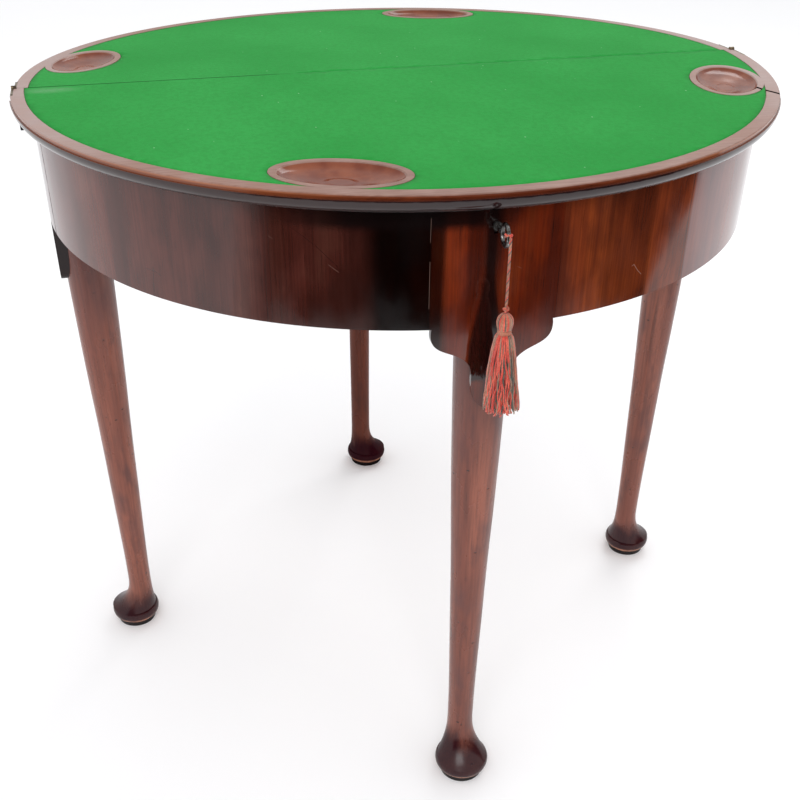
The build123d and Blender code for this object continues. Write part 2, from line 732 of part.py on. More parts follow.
# Key: a ring bow on a collared shank, with its bit inside the lock.
bow_middle = -frieze_radius - key_reach + key_bow_length / 2
key_tip = lock_front + lock_thickness - lock_wall - keyhole_clearance
bit_front = lock_front + lock_wall + bolt_clearance
key_line = Axis(spot(lock_x, 0, key_height), (0, 1, 0))

with BuildPart() as key:
    with BuildSketch(flank(lock_x)):
        with Locations((bow_middle, key_height)):
            Ellipse(key_bow_length / 2, key_bow_height / 2)
            Ellipse(key_bow_length / 2 - key_bow_bar, key_bow_height / 2 - key_bow_bar, mode=Mode.SUBTRACT)
    extrude(amount=key_bow_bar / 2, both=True)
    fillet(key.edges(), radius=key_bow_rounding)
    shank_start = bow_middle + key_bow_length / 2 - key_bow_bar / 2
    with BuildSketch(front(key_tip)):
        with Locations((lock_x, key_height)):
            Circle(key_shank_radius)
    extrude(amount=key_tip - shank_start)
    with BuildSketch(front(-frieze_radius - key_collar_gap)):
        with Locations((lock_x, key_height)):
            Circle(key_collar_radius)
    extrude(amount=key_collar_length)
    with BuildSketch(front(bit_front + key_bit_width)):
        with Locations((lock_x, key_height - bit_sweep / 2)):
            Rectangle(key_bit_thickness, bit_sweep)
    extrude(amount=key_bit_width)
save(key.part, "key")

# A loop of the cord goes round the bow, and a small knot joins it to the hanging cord.
grip = math.radians(grip_angle)
wire_radius_y = (key_bow_length - key_bow_bar) / 2
wire_radius_z = (key_bow_height - key_bow_bar) / 2
grip_spot = spot(lock_x, bow_middle - wire_radius_y * math.cos(grip), key_height + wire_radius_z * math.sin(grip))
grip_out = Vector(0, -math.cos(grip) / wire_radius_y, math.sin(grip) / wire_radius_z).normalized()
grip_along = Vector(0, -grip_out.Z, grip_out.Y)
knot_spot = grip_spot + grip_out * (loop_radius + loop_strand_radius + swing_gap + loop_knot_radius)

with BuildPart() as tassel_loop:
    with BuildSketch(Plane(origin=grip_spot + grip_out * loop_radius, x_dir=grip_out, z_dir=(1, 0, 0))):
        Circle(loop_strand_radius)
    revolve(axis=Axis(grip_spot, grip_along), revolution_arc=360)
save(tassel_loop.part, "tassel_loop")


def knot_ball(middle, radius, girth_radius, seat_radius):
    # A ball with a round band about its front-to-back line, flat on top where a cord of the seat's radius meets it.
    view = Plane(origin=middle, x_dir=(1, 0, 0), z_dir=(0, -1, 0))
    with BuildPart() as ball:
        with BuildSketch(view):
            with BuildLine():
                seat_angle = math.degrees(math.acos(seat_radius / radius))
                arc = CenterArc((0, 0), radius, -90, 90 + seat_angle)
                Polyline(arc @ 1, (0, (arc @ 1).Y), arc @ 0)
            make_face()
        revolve(axis=Axis(middle, (0, 0, 1)), revolution_arc=360)
        with BuildSketch(view):
            Circle(girth_radius)
        extrude(amount=radius, both=True, mode=Mode.INTERSECT)
    return ball.part


save(knot_ball(knot_spot, loop_knot_radius, loop_knot_girth_radius, loop_knot_radius / 2), "loop_knot")

cord_places = [knot_spot + Vector(x, y, z) for x, y, z in cord_route]


def corner_radius(before, corner, after):
    shorter = min((corner - before).length, (after - corner).length)
    half_turn = math.radians((corner - before).get_angle(after - corner) / 2)
    return cord_run_share * shorter / math.tan(half_turn)


cord_corner_radii = [corner_radius(*cord_places[i:i + 3]) for i in range(len(cord_places) - 2)]
with BuildPart() as tassel_cord:
    with BuildLine() as cord_line:
        FilletPolyline(*cord_places, radius=cord_corner_radii)
    with BuildSketch(Plane(origin=cord_line.wire() @ 0, z_dir=cord_line.wire() % 0)):
        Circle(cord_radius)
    sweep()
save(tassel_cord.part, "tassel_cord")
cord_length = cord_line.wire().length
print("cord corner radii", [round(radius, 2) for radius in cord_corner_radii])
print("cord length", round(cord_length, 2), "volume", round(tassel_cord.part.volume, 2),
      "section times length", round(math.pi * cord_radius ** 2 * cord_length, 2))

# Tassel: the cord's end knot, and the head, binding and skirt that swing below it.
knot_drop = math.sqrt(knot_radius ** 2 - cord_radius ** 2)
swing_spot = cord_places[-1] - Vector(0, 0, knot_drop)
head_top = swing_spot.Z - knot_radius - knot_gap
binding_top = head_top - head_height
skirt_top = binding_top - binding_height


def tassel_piece(top, height, top_radius_here, middle_radius, middle_share, bottom_radius):
    # A piece turned about the hanging cord, with one smooth curve from its top to its hem.
    origin = Vector(cord_places[-1].X, cord_places[-1].Y, top)
    with BuildPart() as piece:
        with BuildSketch(Plane(origin=origin, x_dir=(1, 0, 0), z_dir=(0, -1, 0))):
            with BuildLine():
                side = Spline((top_radius_here, 0), (middle_radius, -height * middle_share), (bottom_radius, -height))
                Polyline(side @ 1, (0, -height), (0, 0), side @ 0)
            make_face()
        revolve(axis=Axis(origin, (0, 0, 1)), revolution_arc=360)
    return piece.part


shoulder_girth_share, shoulder_height_share = skirt_shoulder_shares
save(knot_ball(swing_spot, knot_radius, knot_girth_radius, cord_radius), "tassel_knot")
save(tassel_piece(head_top, head_height, knot_radius / 2, head_radius, 2 / 3, binding_radius), "tassel_head")
save(tassel_piece(binding_top, binding_height, binding_radius, binding_radius, 1 / 2, binding_radius), "tassel_binding")
save(tassel_piece(skirt_top, skirt_height, binding_radius, skirt_hem_radius * shoulder_girth_share,
                  shoulder_height_share, skirt_hem_radius), "tassel_skirt")
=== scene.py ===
# %% [markdown]
# # A folding card table in old mahogany
# The table is a half-round frame on four turned legs. Its round top is two half-round leaves.
# The front leaf lies on the frame, and the back leaf folds over on two edge hinges. The packed
# model brings every hard piece at its real size. This lesson gives those pieces their finish,
# lays the baize, and spins the cord and the tassel that hang on the key.

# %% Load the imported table
import json
import math
import random

import bmesh
import bpy
from mathutils import Matrix, Vector, geometry, noise


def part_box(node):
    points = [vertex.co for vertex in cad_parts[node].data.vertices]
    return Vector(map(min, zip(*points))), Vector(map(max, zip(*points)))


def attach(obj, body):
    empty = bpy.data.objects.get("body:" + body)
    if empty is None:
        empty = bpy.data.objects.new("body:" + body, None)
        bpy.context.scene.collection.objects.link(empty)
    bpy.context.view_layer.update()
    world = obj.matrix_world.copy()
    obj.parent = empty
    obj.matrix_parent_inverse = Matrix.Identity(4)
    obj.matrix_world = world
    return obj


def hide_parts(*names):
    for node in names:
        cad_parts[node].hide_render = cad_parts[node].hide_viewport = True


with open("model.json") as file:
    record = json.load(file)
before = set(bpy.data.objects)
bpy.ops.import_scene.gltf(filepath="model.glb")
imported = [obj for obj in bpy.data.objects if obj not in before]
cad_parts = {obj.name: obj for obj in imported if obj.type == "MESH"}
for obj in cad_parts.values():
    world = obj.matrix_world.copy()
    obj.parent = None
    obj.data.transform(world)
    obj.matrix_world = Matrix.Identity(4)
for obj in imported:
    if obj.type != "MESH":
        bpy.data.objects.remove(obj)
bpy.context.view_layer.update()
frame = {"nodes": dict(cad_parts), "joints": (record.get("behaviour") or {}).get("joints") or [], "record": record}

# %% [markdown]
# ## Sizes that the looks share
# Grain, wear and seams follow the frame's curve, so the finish must know where the middle of
# the top is. Typed numbers would stay behind when the model changes, so they are read from
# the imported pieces.

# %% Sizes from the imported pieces
MM = 0.001
FOLD_LEAF_SHORTER = 4 * MM


def box_of(node):
    low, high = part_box(node)
    return Vector(low), Vector(high)


def joint_place(name):
    return Vector(next(joint["pos_m"] for joint in frame["joints"] if joint["name"] == name))


leaf_low, leaf_high = box_of("fixed_leaf")
top_z = leaf_high.z
fold_y = joint_place("leaf_fold").y
frieze_top = leaf_low.z
top_radius = fold_y - leaf_low.y
fold_radius = top_radius - FOLD_LEAF_SHORTER
frieze_radius = box_of("corner_stile_right")[1].x
frieze_bottom = box_of("frieze_left")[0].z
print("fold line at y", round(fold_y, 4), "top radius", round(top_radius, 4))

# %% [markdown]
# ## Camera
# The photograph looks down from a standing person's height, a little from the left. A long
# lens far away would flatten the top, so the camera stands close, and a small shift puts the
# table where the photograph has it.

# %% Camera
CAMERA_PLACE = Vector((-0.3006, fold_y - 1.2678, 1.0489))
CAMERA_HEADING, CAMERA_DOWN, CAMERA_ROLL = 12.99, 35.37, 0.18
LENS_MM = 49.50
SHIFT = (0.0174, 0.1384)


def make_camera():
    data = bpy.data.cameras.new("photo_camera")
    data.lens = LENS_MM
    data.shift_x, data.shift_y = SHIFT
    camera = bpy.data.objects.new("photo_camera", data)
    bpy.context.collection.objects.link(camera)
    turn = Matrix.Rotation(math.radians(-CAMERA_HEADING), 4, "Z")
    tip = Matrix.Rotation(math.radians(90 - CAMERA_DOWN), 4, "X")
    roll = Matrix.Rotation(math.radians(CAMERA_ROLL), 4, "Z")
    camera.matrix_world = Matrix.Translation(CAMERA_PLACE) @ turn @ tip @ roll
    bpy.context.scene.camera = camera


make_camera()
print("camera", round(CAMERA_PLACE.z, 2), "m high, looking", CAMERA_DOWN, "degrees down")

# %% [markdown]
# ## A short way to write finishes
# A finish in Blender is a net of nodes, which is hard to read when it is written out node by
# node. So the usual steps get names here, and each finish below reads like a painter's
# recipe. Places are metres on the table at rest, so a pattern keeps its real size and moves
# with its piece.

# %% Nodes and sums
def put(socket, value):
    if isinstance(value, bpy.types.NodeSocket):
        socket.id_data.links.new(value, socket)
    else:
        socket.default_value = (*value, 1) if socket.type == "RGBA" else value


def add(kind, values, names=None, **settings):
    # A new node in the net that its values come from.
    tree = next(value.id_data for value in values if isinstance(value, bpy.types.NodeSocket))
    node = tree.nodes.new("ShaderNode" + kind)
    for name, value in settings.items():
        setattr(node, name, value)
    for name, value in zip(names or range(len(values)), values):
        put(node.inputs[name], value)
    return node


def calc(operation, *values, clamp=False):
    return add("Math", values, operation=operation, use_clamp=clamp).outputs[0]


def plus(first, second):
    return calc("ADD", first, second)


def less(first, second):
    return calc("SUBTRACT", first, second)


def times(first, second):
    return calc("MULTIPLY", first, second)


def vector(operation, *values):
    result = "Value" if operation in ("DOT_PRODUCT", "LENGTH") else "Vector"
    return add("VectorMath", values, operation=operation).outputs[result]


def split(place):
    return add("SeparateXYZ", (place,)).outputs


def join(x, y, z):
    return add("CombineXYZ", (x, y, z)).outputs[0]


print("steps for nodes and sums are ready")

# %% [markdown]
# ### Patterns
# Wood, cloth and tarnish are never even. A picture would repeat and blur, but a cloud pattern
# is worked out at every place and stays sharp. Its scale is how many clouds fit in a metre
# each way, and a low number stretches it into grain. Cells give single marks: how far the
# nearest one is, and a number of its own that picks some of them.

# %% Clouds and cells
def stretched(place, scale, turn=(0, 0, 0)):
    turn = [math.radians(angle) for angle in turn]
    return add("Mapping", (place, scale, turn), ("Vector", "Scale", "Rotation")).outputs[0]


def cloud(place, scale, detail=3.0, twist=0.0):
    values = (stretched(place, scale), 1, detail, twist)
    return add("TexNoise", values, ("Vector", "Scale", "Detail", "Distortion")).outputs["Fac"]


def cells(place, scale, turn=(0, 0, 0)):
    marks = add("TexVoronoi", (stretched(place, scale, turn), 1), ("Vector", "Scale")).outputs
    return marks["Distance"], split(marks["Color"])[0]


print("steps for patterns are ready")

# %% [markdown]
# ### Layers
# A polisher lays one colour over another, and so does a recipe. `rise` is the mask, which
# goes softly from low to high between two values. `blend` lays the second colour over the
# first, `near_line` measures the way to a drawn line, as a crack needs, and `relief` makes
# the surface stand up or dip.

# %% Masks, layers, lines and relief
RISE_SOCKETS = ("Value", "From Min", "From Max", "To Min", "To Max")
MIX_SHARE, MIX_FIRST, MIX_SECOND, MIX_RESULT = 0, 6, 7, 2


def rise(value, start, stop, low=0.0, high=1.0):
    values = (value, start, stop, low, high)
    return add("MapRange", values, RISE_SOCKETS, interpolation_type="SMOOTHSTEP").outputs["Result"]


def blend(share, first, second, kind="MIX"):
    sockets = (MIX_SHARE, MIX_FIRST, MIX_SECOND)
    node = add("Mix", (share, first, second), sockets, data_type="RGBA", blend_type=kind)
    return node.outputs[MIX_RESULT]


def near_line(place, points):
    nearest = None
    for start, end in zip(points, points[1:]):
        run = Vector(end) - Vector(start)
        reach = vector("SUBTRACT", place, start)
        along = calc("MULTIPLY", vector("DOT_PRODUCT", reach, run), 1 / run.length_squared, clamp=True)
        foot = vector("MULTIPLY", join(along, along, along), run)
        gap = vector("LENGTH", vector("SUBTRACT", reach, foot))
        nearest = gap if nearest is None else calc("MINIMUM", nearest, gap)
    return nearest


def relief(height, depth, under=None):
    bump = add("Bump", (height, depth), ("Height", "Distance"))
    if under is not None:
        put(bump.inputs["Normal"], under)
    return bump.outputs[0]


def new_finish(name):
    finish = bpy.data.materials.new(name)
    finish.use_nodes = True
    return finish, finish.node_tree.nodes.new("ShaderNodeTexCoord").outputs["Object"]


def look(finish, **parts):
    nodes = finish.node_tree.nodes
    for name, value in parts.items():
        socket_name = name.replace("_", " ").title().replace("Ior", "IOR")
        put(nodes["Principled BSDF"].inputs[socket_name], value)
    print("finish", finish.name, "nodes", len(nodes))
    return finish


print("steps for layers are ready")

# %% [markdown]
# ## Floor
# The table stood on a white sweep. A bent sheet of paper could be modelled, but only its
# floor shows, so one large pale sheet catches the shadows of the feet. It is not quite white
# and not quite even, or it would look cut out.

# %% Floor
FLOOR_REACH = 6.0
FLOOR_COOL, FLOOR_WARM = (0.935, 0.94, 0.96), (0.955, 0.957, 0.972)


def plain_sheet(name, corners, material):
    mesh = bpy.data.meshes.new(name)
    mesh.from_pydata(corners, [], [list(range(len(corners)))])
    mesh.materials.append(material)
    piece = bpy.data.objects.new(name, mesh)
    bpy.context.collection.objects.link(piece)
    return piece


def floor_finish():
    finish, place = new_finish("floor_white")
    tone = cloud(place, (3, 3, 3), detail=2)
    return look(finish, Base_Color=blend(tone, FLOOR_COOL, FLOOR_WARM), Roughness=0.6)


FLOOR_SIDES = ((-1, -1), (1, -1), (1, 1), (-1, 1))
plain_sheet("floor", [(x * FLOOR_REACH, y * FLOOR_REACH, 0) for x, y in FLOOR_SIDES], floor_finish())

# %% [markdown]
# ## The dark side of the room
# Behind the camera the white sweep ends, and the front of the frieze mirrors a dark room
# beyond it. That is why its middle looks almost black while both ends look silver. Shade
# painted on the wood would be wrong from every other side, so dark sheets stand for the room,
# and only polish can see them.

# %% Dark room
SWEEP_END, ROOM_END = 1.62, 3.2
ROOM_HEIGHT = 1.5
ROOM_LIFT = 3 * MM
ROOM_STEPS = 12
DARK_FROM, DARK_TO = -58, 86
LEFT_END_SOFT = 12
RIGHT_END_NEAR, RIGHT_END_FAR, RIGHT_END_REACH = 63.5, 84, 2.4
RIGHT_END_SOFT = 3
PALE_PAPER, DARK_ROOM = 0.75, 0.003


def dark_finish():
    # The room darkens softly at its left end and at once at its right end, which slants outwards.
    finish, place = new_finish("room_dark")
    x, y, _ = split(place)
    degrees = calc("DEGREES", calc("ARCTAN2", x, times(y, -1)))
    from_middle = vector("LENGTH", join(x, y, 0.0))
    right_end = rise(from_middle, SWEEP_END, RIGHT_END_REACH, RIGHT_END_NEAR, RIGHT_END_FAR)
    light = rise(degrees, right_end, plus(right_end, RIGHT_END_SOFT), high=PALE_PAPER)
    left_end = rise(degrees, DARK_FROM, DARK_FROM + LEFT_END_SOFT, PALE_PAPER, DARK_ROOM)
    light = plus(light, left_end)
    return look(finish, Base_Color=join(light, light, light), Roughness=0.9, Specular_IOR_Level=0.0)


def round_spot(degrees, radius, height):
    # A place round the middle of the table. Zero is straight in front, and right is positive.
    turn = math.radians(degrees)
    return Vector((radius * math.sin(turn), -radius * math.cos(turn), height))


dark = dark_finish()
dark_turns = [DARK_FROM + (DARK_TO - DARK_FROM) * step / ROOM_STEPS for step in range(ROOM_STEPS + 1)]
dark_floor = [round_spot(turn, SWEEP_END, ROOM_LIFT) for turn in dark_turns]
dark_floor += [round_spot(turn, ROOM_END, ROOM_LIFT) for turn in reversed(dark_turns)]
dark_pieces = [plain_sheet("dark_floor", dark_floor, dark)]
for index, (start, end) in enumerate(zip(dark_turns, dark_turns[1:])):
    corners = ((start, 0), (end, 0), (end, ROOM_HEIGHT), (start, ROOM_HEIGHT))
    wall = [round_spot(turn, ROOM_END, height) for turn, height in corners]
    dark_pieces.append(plain_sheet("dark_wall_%d" % index, wall, dark))
for piece in dark_pieces:
    for sight in ("camera", "diffuse", "transmission", "shadow"):
        setattr(piece, "visible_" + sight, False)
print("dark sheets", len(dark_pieces))

# %% [markdown]
# ## White room and lamps
# A photographer's room is white, with two large soft lamps. Small lamps would throw hard
# shadows, which the photograph hasn't. The white that the camera, the polish and the metal
# see is set by itself, so the lamps can change without greying it.

# %% Room and lamps
ROOM_LIGHT, SEEN_LIGHT = 1.0, 1.0


def make_room():
    world = bpy.data.worlds.new("white_room")
    world.use_nodes = True
    bpy.context.scene.world = world
    back = world.node_tree.nodes["Background"]
    put(back.inputs["Color"], (1, 1, 1))
    rays = world.node_tree.nodes.new("ShaderNodeLightPath").outputs
    mirrored = calc("MAXIMUM", rays["Is Glossy Ray"], rays["Is Transmission Ray"])
    seen = calc("MAXIMUM", rays["Is Camera Ray"], mirrored)
    strength = add("MapRange", (seen, ROOM_LIGHT, SEEN_LIGHT), ("Value", "To Min", "To Max"))
    put(back.inputs["Strength"], strength.outputs["Result"])


def soft_lamp(name, place, aim, size, watts):
    data = bpy.data.lights.new(name, "AREA")
    data.shape = "RECTANGLE"
    data.size, data.size_y = size
    data.energy = watts
    lamp = bpy.data.objects.new(name, data)
    bpy.context.collection.objects.link(lamp)
    lamp.location = place
    lamp.rotation_euler = (Vector(aim) - Vector(place)).to_track_quat("-Z", "Y").to_euler()
    print(name, "watts", watts)


make_room()
soft_lamp("window_front", place=(-0.72, -2.35, 2.42), aim=(0, -0.2, 0.3), size=(1.6, 1.1), watts=29)
soft_lamp("window_back", place=(1.6, 1.9, 2.8), aim=(0, 0, 0.6), size=(1.6, 1.2), watts=24)
bpy.context.scene.view_settings.view_transform = "Standard"

# %% [markdown]
# ## The line of the cord
# The tassel hangs on a silk cord that leaves the small knot at the bow, turns down within a
# centimetre and hangs straight. Straight runs joined at a corner would look like bent wire,
# so the line is one smooth curve with three points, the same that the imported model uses.

# %% Cord line
knot_place = joint_place("cord_turn")
swing_place = joint_place("tassel_swing")
CORD_ROUTE = [(0, -0.17, -1.79), (0, -0.74, -8), (0, -0.74, -63.1)]
CORD_STEPS = 96


def smooth_line(points, steps):
    data = bpy.data.curves.new("route", "CURVE")
    data.dimensions = "3D"
    spline = data.splines.new("NURBS")
    spline.points.add(len(points) - 1)
    for control, point in zip(spline.points, points):
        control.co = (*point, 1)
    spline.order_u = 3
    spline.use_endpoint_u = True
    spline.resolution_u = steps
    holder = bpy.data.objects.new("route", data)
    line = bpy.data.meshes.new_from_object(holder)
    places = [vertex.co.copy() for vertex in line.vertices]
    bpy.data.objects.remove(holder)
    bpy.data.curves.remove(data)
    return places


cord_line = smooth_line([knot_place + Vector(point) * MM for point in CORD_ROUTE], CORD_STEPS)

# %% [markdown]
# ## Silk
# The tassel is worn silk in four shades: bright coral, faded salmon, tan and grey green. One
# mixed colour would look like plastic, so each shade is a finish of its own, dull, with fine
# fibres along the thread and a faint pile that catches light at the edges.

# %% Silk finishes
FIBRE_SHADOW = (0.05, 0.02, 0.015)


def silk_finish(name, deep, pale):
    finish, place = new_finish(name)
    fibre = cloud(place, (2600, 2600, 500), detail=2)
    wear = cloud(place, (140, 140, 60), detail=3)
    colour = blend(rise(wear, 0.35, 0.68), deep, pale)
    colour = blend(rise(fibre, 0.62, 0.38, high=0.45), colour, FIBRE_SHADOW)
    dullness = rise(wear, 0.3, 0.7, 0.55, 0.8)
    return look(finish, Base_Color=colour, Roughness=dullness, Specular_IOR_Level=0.3, Sheen_Weight=0.35,
                Sheen_Roughness=0.4, Normal=relief(fibre, 0.12 * MM))


SILKS = [silk_finish("silk_coral", deep=(0.64, 0.055, 0.036), pale=(0.80, 0.155, 0.100)),
         silk_finish("silk_salmon", deep=(0.46, 0.15, 0.085), pale=(0.58, 0.24, 0.15)),
         silk_finish("silk_tan", deep=(0.26, 0.15, 0.10), pale=(0.36, 0.23, 0.16)),
         silk_finish("silk_grey_green", deep=(0.060, 0.075, 0.060), pale=(0.13, 0.145, 0.115))]
CORAL, SALMON, TAN, GREEN = range(4)

# %% [markdown]
# ## One thread
# A thread is a slim tube. A curve with a round bevel would make one too, but hundreds of
# curves would be hundreds of pieces. So each thread is drawn ring by ring into one shared
# mesh, and turns as little as it can, so that it never wrings itself.

# %% Thread builder
def join_rings(bm, before, ring, shade):
    for side in range(len(ring)):
        after = (side + 1) % len(ring)
        face = bm.faces.new((before[side], before[after], ring[after], ring[side]))
        face.material_index = shade
        face.smooth = True


def heading(points, index):
    # The way a line runs at one of its points.
    return (points[min(index + 1, len(points) - 1)] - points[max(index - 1, 0)]).normalized()


def thread(bm, points, radii, shade, sides=6):
    across = None
    before = None
    for index, point in enumerate(points):
        ahead = heading(points, index)
        across = ahead.orthogonal() if across is None else across - ahead * across.dot(ahead)
        across.normalize()
        other = ahead.cross(across)
        radius = radii[index] if isinstance(radii, list) else radii
        ring = []
        for side in range(sides):
            turn = 2 * math.pi * side / sides
            ring.append(bm.verts.new(point + (across * math.cos(turn) + other * math.sin(turn)) * radius))
        if before:
            join_rings(bm, before, ring, shade)
        else:
            bm.faces.new(list(reversed(ring))).material_index = shade
        before = ring
    bm.faces.new(before).material_index = shade


def piece_from(bm, name, finishes, body, node):
    # A piece that takes a imported node's place and rides on its body.
    mesh = bpy.data.meshes.new(name)
    bm.to_mesh(mesh)
    bm.free()
    for finish in finishes:
        mesh.materials.append(finish)
    piece = bpy.data.objects.new(name, mesh)
    bpy.context.collection.objects.link(piece)
    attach(piece, body)
    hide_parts(node)
    print(name, "faces", len(mesh.polygons))
    return piece


# %% [markdown]
# ## The hanging cord
# The cord is laid up from four threads: one coral, one tan, one salmon and one grey green.
# Stripes on a round rod would miss the scalloped edge, so the threads are modelled. They wind
# round each other once in eight and a half millimetres.

# %% Hanging cord
LAY_PITCH = 8.5 * MM
LAY_RADIUS = 0.70 * MM
LAID_THREAD = 0.56 * MM
CORD_SHADES = (CORAL, TAN, SALMON, GREEN)
SIDEWAYS = Vector((1, 0, 0))


def laid_cord():
    bm = bmesh.new()
    for lead, shade in enumerate(CORD_SHADES):
        travelled = 0
        points = []
        for index, point in enumerate(cord_line):
            if index:
                travelled += (point - cord_line[index - 1]).length
            back = heading(cord_line, index).cross(SIDEWAYS)
            turn = 2 * math.pi * (travelled / LAY_PITCH + lead / len(CORD_SHADES))
            points.append(point + (SIDEWAYS * math.cos(turn) + back * math.sin(turn)) * LAY_RADIUS)
        thread(bm, points, LAID_THREAD, shade)
    return piece_from(bm, "laid_cord", SILKS, "hanging_cord", "tassel_cord")


cord_piece = laid_cord()

# %% [markdown]
# ## Knots
# A small overhand knot closes the loop at the bow, and a larger one, tied with two threads,
# joins the cord to the tassel's head. A bead would fill the space, but a knot shows strands
# that cross, and the curve of an overhand knot has a short formula.

# %% Knots
KNOT_STEPS = 72
KNOT_SPAN = 3
KNOT_DEPTH = 1.2
BOW_KNOT_REACH, BOW_KNOT_THREAD = 1.9 * MM, 0.5 * MM
END_KNOT_REACH, END_KNOT_THREAD, END_KNOT_LIFT = 3.1 * MM, 0.62 * MM, 0.2 * MM


def overhand(middle, reach, thickness, shades, name, node):
    bm = bmesh.new()
    for lead, shade in enumerate(shades):
        nudge = Vector((0, 0, thickness * 1.1 * (lead - (len(shades) - 1) / 2)))
        points = []
        for step in range(KNOT_STEPS + 1):
            turn = 2 * math.pi * step / KNOT_STEPS
            across = math.sin(turn) + 2 * math.sin(2 * turn)
            upright = math.cos(turn) - 2 * math.cos(2 * turn)
            deep = -KNOT_DEPTH * math.sin(3 * turn)
            points.append(middle + Vector((across, deep, upright)) * (reach - thickness) / KNOT_SPAN + nudge)
        thread(bm, points, thickness, shade)
    return piece_from(bm, name, SILKS, "hanging_cord", node)


overhand(knot_place, BOW_KNOT_REACH, BOW_KNOT_THREAD, (CORAL,), "bow_knot", "loop_knot")
end_knot = overhand(swing_place + Vector((0, 0, END_KNOT_LIFT)), END_KNOT_REACH, END_KNOT_THREAD,
                    (CORAL, SALMON), "end_knot", "tassel_knot")

# %% [markdown]
# ## Loop
# The cord goes twice round the front of the bow. One flat ring would look like a washer, so
# two rings lean apart a little, each a pair of threads wound round each other.

# %% Double loop
loop_low, loop_high = box_of("tassel_loop")
loop_middle = (loop_low + loop_high) / 2
loop_out = (knot_place - loop_middle).normalized()
loop_along = loop_out.cross(SIDEWAYS).normalized()
LOOP_RADIUS = 2.9 * MM
LOOP_STEPS = 80
LOOP_WINDINGS = 7
LOOP_LAY, LOOP_THREAD = 0.36 * MM, 0.46 * MM
LOOP_APART = 0.55 * MM
LOOP_RINGS = [(-1, 0.22 * MM, (CORAL, TAN)), (1, -0.30 * MM, (CORAL, CORAL))]


def double_loop():
    bm = bmesh.new()
    for way, tilt, shade_pair in LOOP_RINGS:
        for lead, shade in enumerate(shade_pair):
            points = []
            for step in range(LOOP_STEPS + 1):
                turn = 2 * math.pi * step / LOOP_STEPS
                lay = LOOP_WINDINGS * turn + math.pi * lead
                radius = LOOP_RADIUS + LOOP_LAY * math.cos(lay)
                lean = LOOP_APART * way * (1 - math.cos(turn)) + LOOP_LAY * math.sin(lay)
                lean += tilt * math.sin(turn)
                points.append(loop_middle + loop_out * math.cos(turn) * radius
                              + SIDEWAYS * math.sin(turn) * radius + loop_along * lean)
            thread(bm, points, LOOP_THREAD, shade)
    return piece_from(bm, "bow_loop", SILKS, "turning_key", "tassel_loop")


double_loop()

# %% [markdown]
# ## The tassel
# A tassel maker lays a bundle of threads over the knot, binds it round below the bulge, and
# trims the hem. A turned form with stripes would show none of that, so every thread is
# modelled, and a plain core fills the space between them.

# %% Tassel sizes
head_low, head_high = box_of("tassel_head")
binding_low, binding_high = box_of("tassel_binding")
skirt_low, skirt_high = box_of("tassel_skirt")
tassel_axis = Vector(((head_low.x + head_high.x) / 2, (head_low.y + head_high.y) / 2, 0))
head_height = head_high.z - head_low.z
head_bulge = (head_high.x - head_low.x) / 2
binding_radius = (binding_high.x - binding_low.x) / 2
hem_radius = (skirt_high.x - skirt_low.x) / 2
skirt_height = skirt_high.z - skirt_low.z
NECK_RADIUS = 1.5 * MM
BULGE_SHARE = 0.5
CORE_SIDES = 28
print("head, binding and hem radius mm", [round(r / MM, 1) for r in (head_bulge, binding_radius, hem_radius)])


def polar(radius, turn, height):
    return tassel_axis + Vector((radius * math.cos(turn), radius * math.sin(turn), height))


def head_girth(share):
    # The head's radius, at a share of the way down.
    if share < BULGE_SHARE:
        return NECK_RADIUS + (head_bulge - NECK_RADIUS) * math.sin(math.pi / 2 * share / BULGE_SHARE) ** 0.6
    below = (share - BULGE_SHARE) / (1 - BULGE_SHARE)
    return head_bulge - (head_bulge - binding_radius) * below ** 2


def turned_core(bm, girths, shade):
    turns = [2 * math.pi * side / CORE_SIDES for side in range(CORE_SIDES)]
    before = None
    for radius, height in girths:
        ring = [bm.verts.new(polar(radius, turn, height)) for turn in turns]
        if before:
            join_rings(bm, before, ring, shade)
        before = ring


# %% [markdown]
# ### Head
# The threads of the head run down from the knot over the bulge. Equal threads would look
# machine made, so each starts a little off its place and wanders on the way down.

# %% Tassel head
HEAD_THREADS = 34
HEAD_STEPS, CORE_STEPS = 18, 10
HEAD_CORE_SHORT = 0.9 * MM
HEAD_SHADES = [SALMON, CORAL, GREEN, SALMON, CORAL, SALMON, TAN, SALMON, GREEN, CORAL, SALMON]


def tassel_head():
    chance = random.Random(4)
    bm = bmesh.new()
    for index in range(HEAD_THREADS):
        start = 2 * math.pi * (index + chance.uniform(-0.18, 0.18)) / HEAD_THREADS
        points, radii = [], []
        for step in range(HEAD_STEPS + 1):
            share = step / HEAD_STEPS
            girth = head_girth(share)
            wander = 0.05 * noise.noise(Vector((index * 1.7, share * 2.5, 0)))
            radii.append((0.42 + 0.56 * girth / head_bulge) * MM)
            points.append(polar(girth - radii[-1] * 0.8, start + wander, head_high.z - head_height * share))
        thread(bm, points, radii, HEAD_SHADES[index % len(HEAD_SHADES)])
    core = []
    for step in range(CORE_STEPS + 1):
        girth = max(head_girth(step / CORE_STEPS) - HEAD_CORE_SHORT, 0.2 * MM)
        core.append((girth, head_high.z - head_height * step / CORE_STEPS))
    turned_core(bm, core, SALMON)
    return piece_from(bm, "tassel_head_threads", SILKS, "tassel", "tassel_head")


head_piece = tassel_head()

# %% [markdown]
# ### Binding
# One thread goes six times round the neck and holds the bundle. Separate rings would show no
# winding, so it is one long line that goes round and down, with a slight wobble.

# %% Tassel binding
BINDING_TURNS, STEPS_A_TURN = 6, 40
BINDING_THREAD = 0.44 * MM
BINDING_WOBBLE = 0.12 * MM


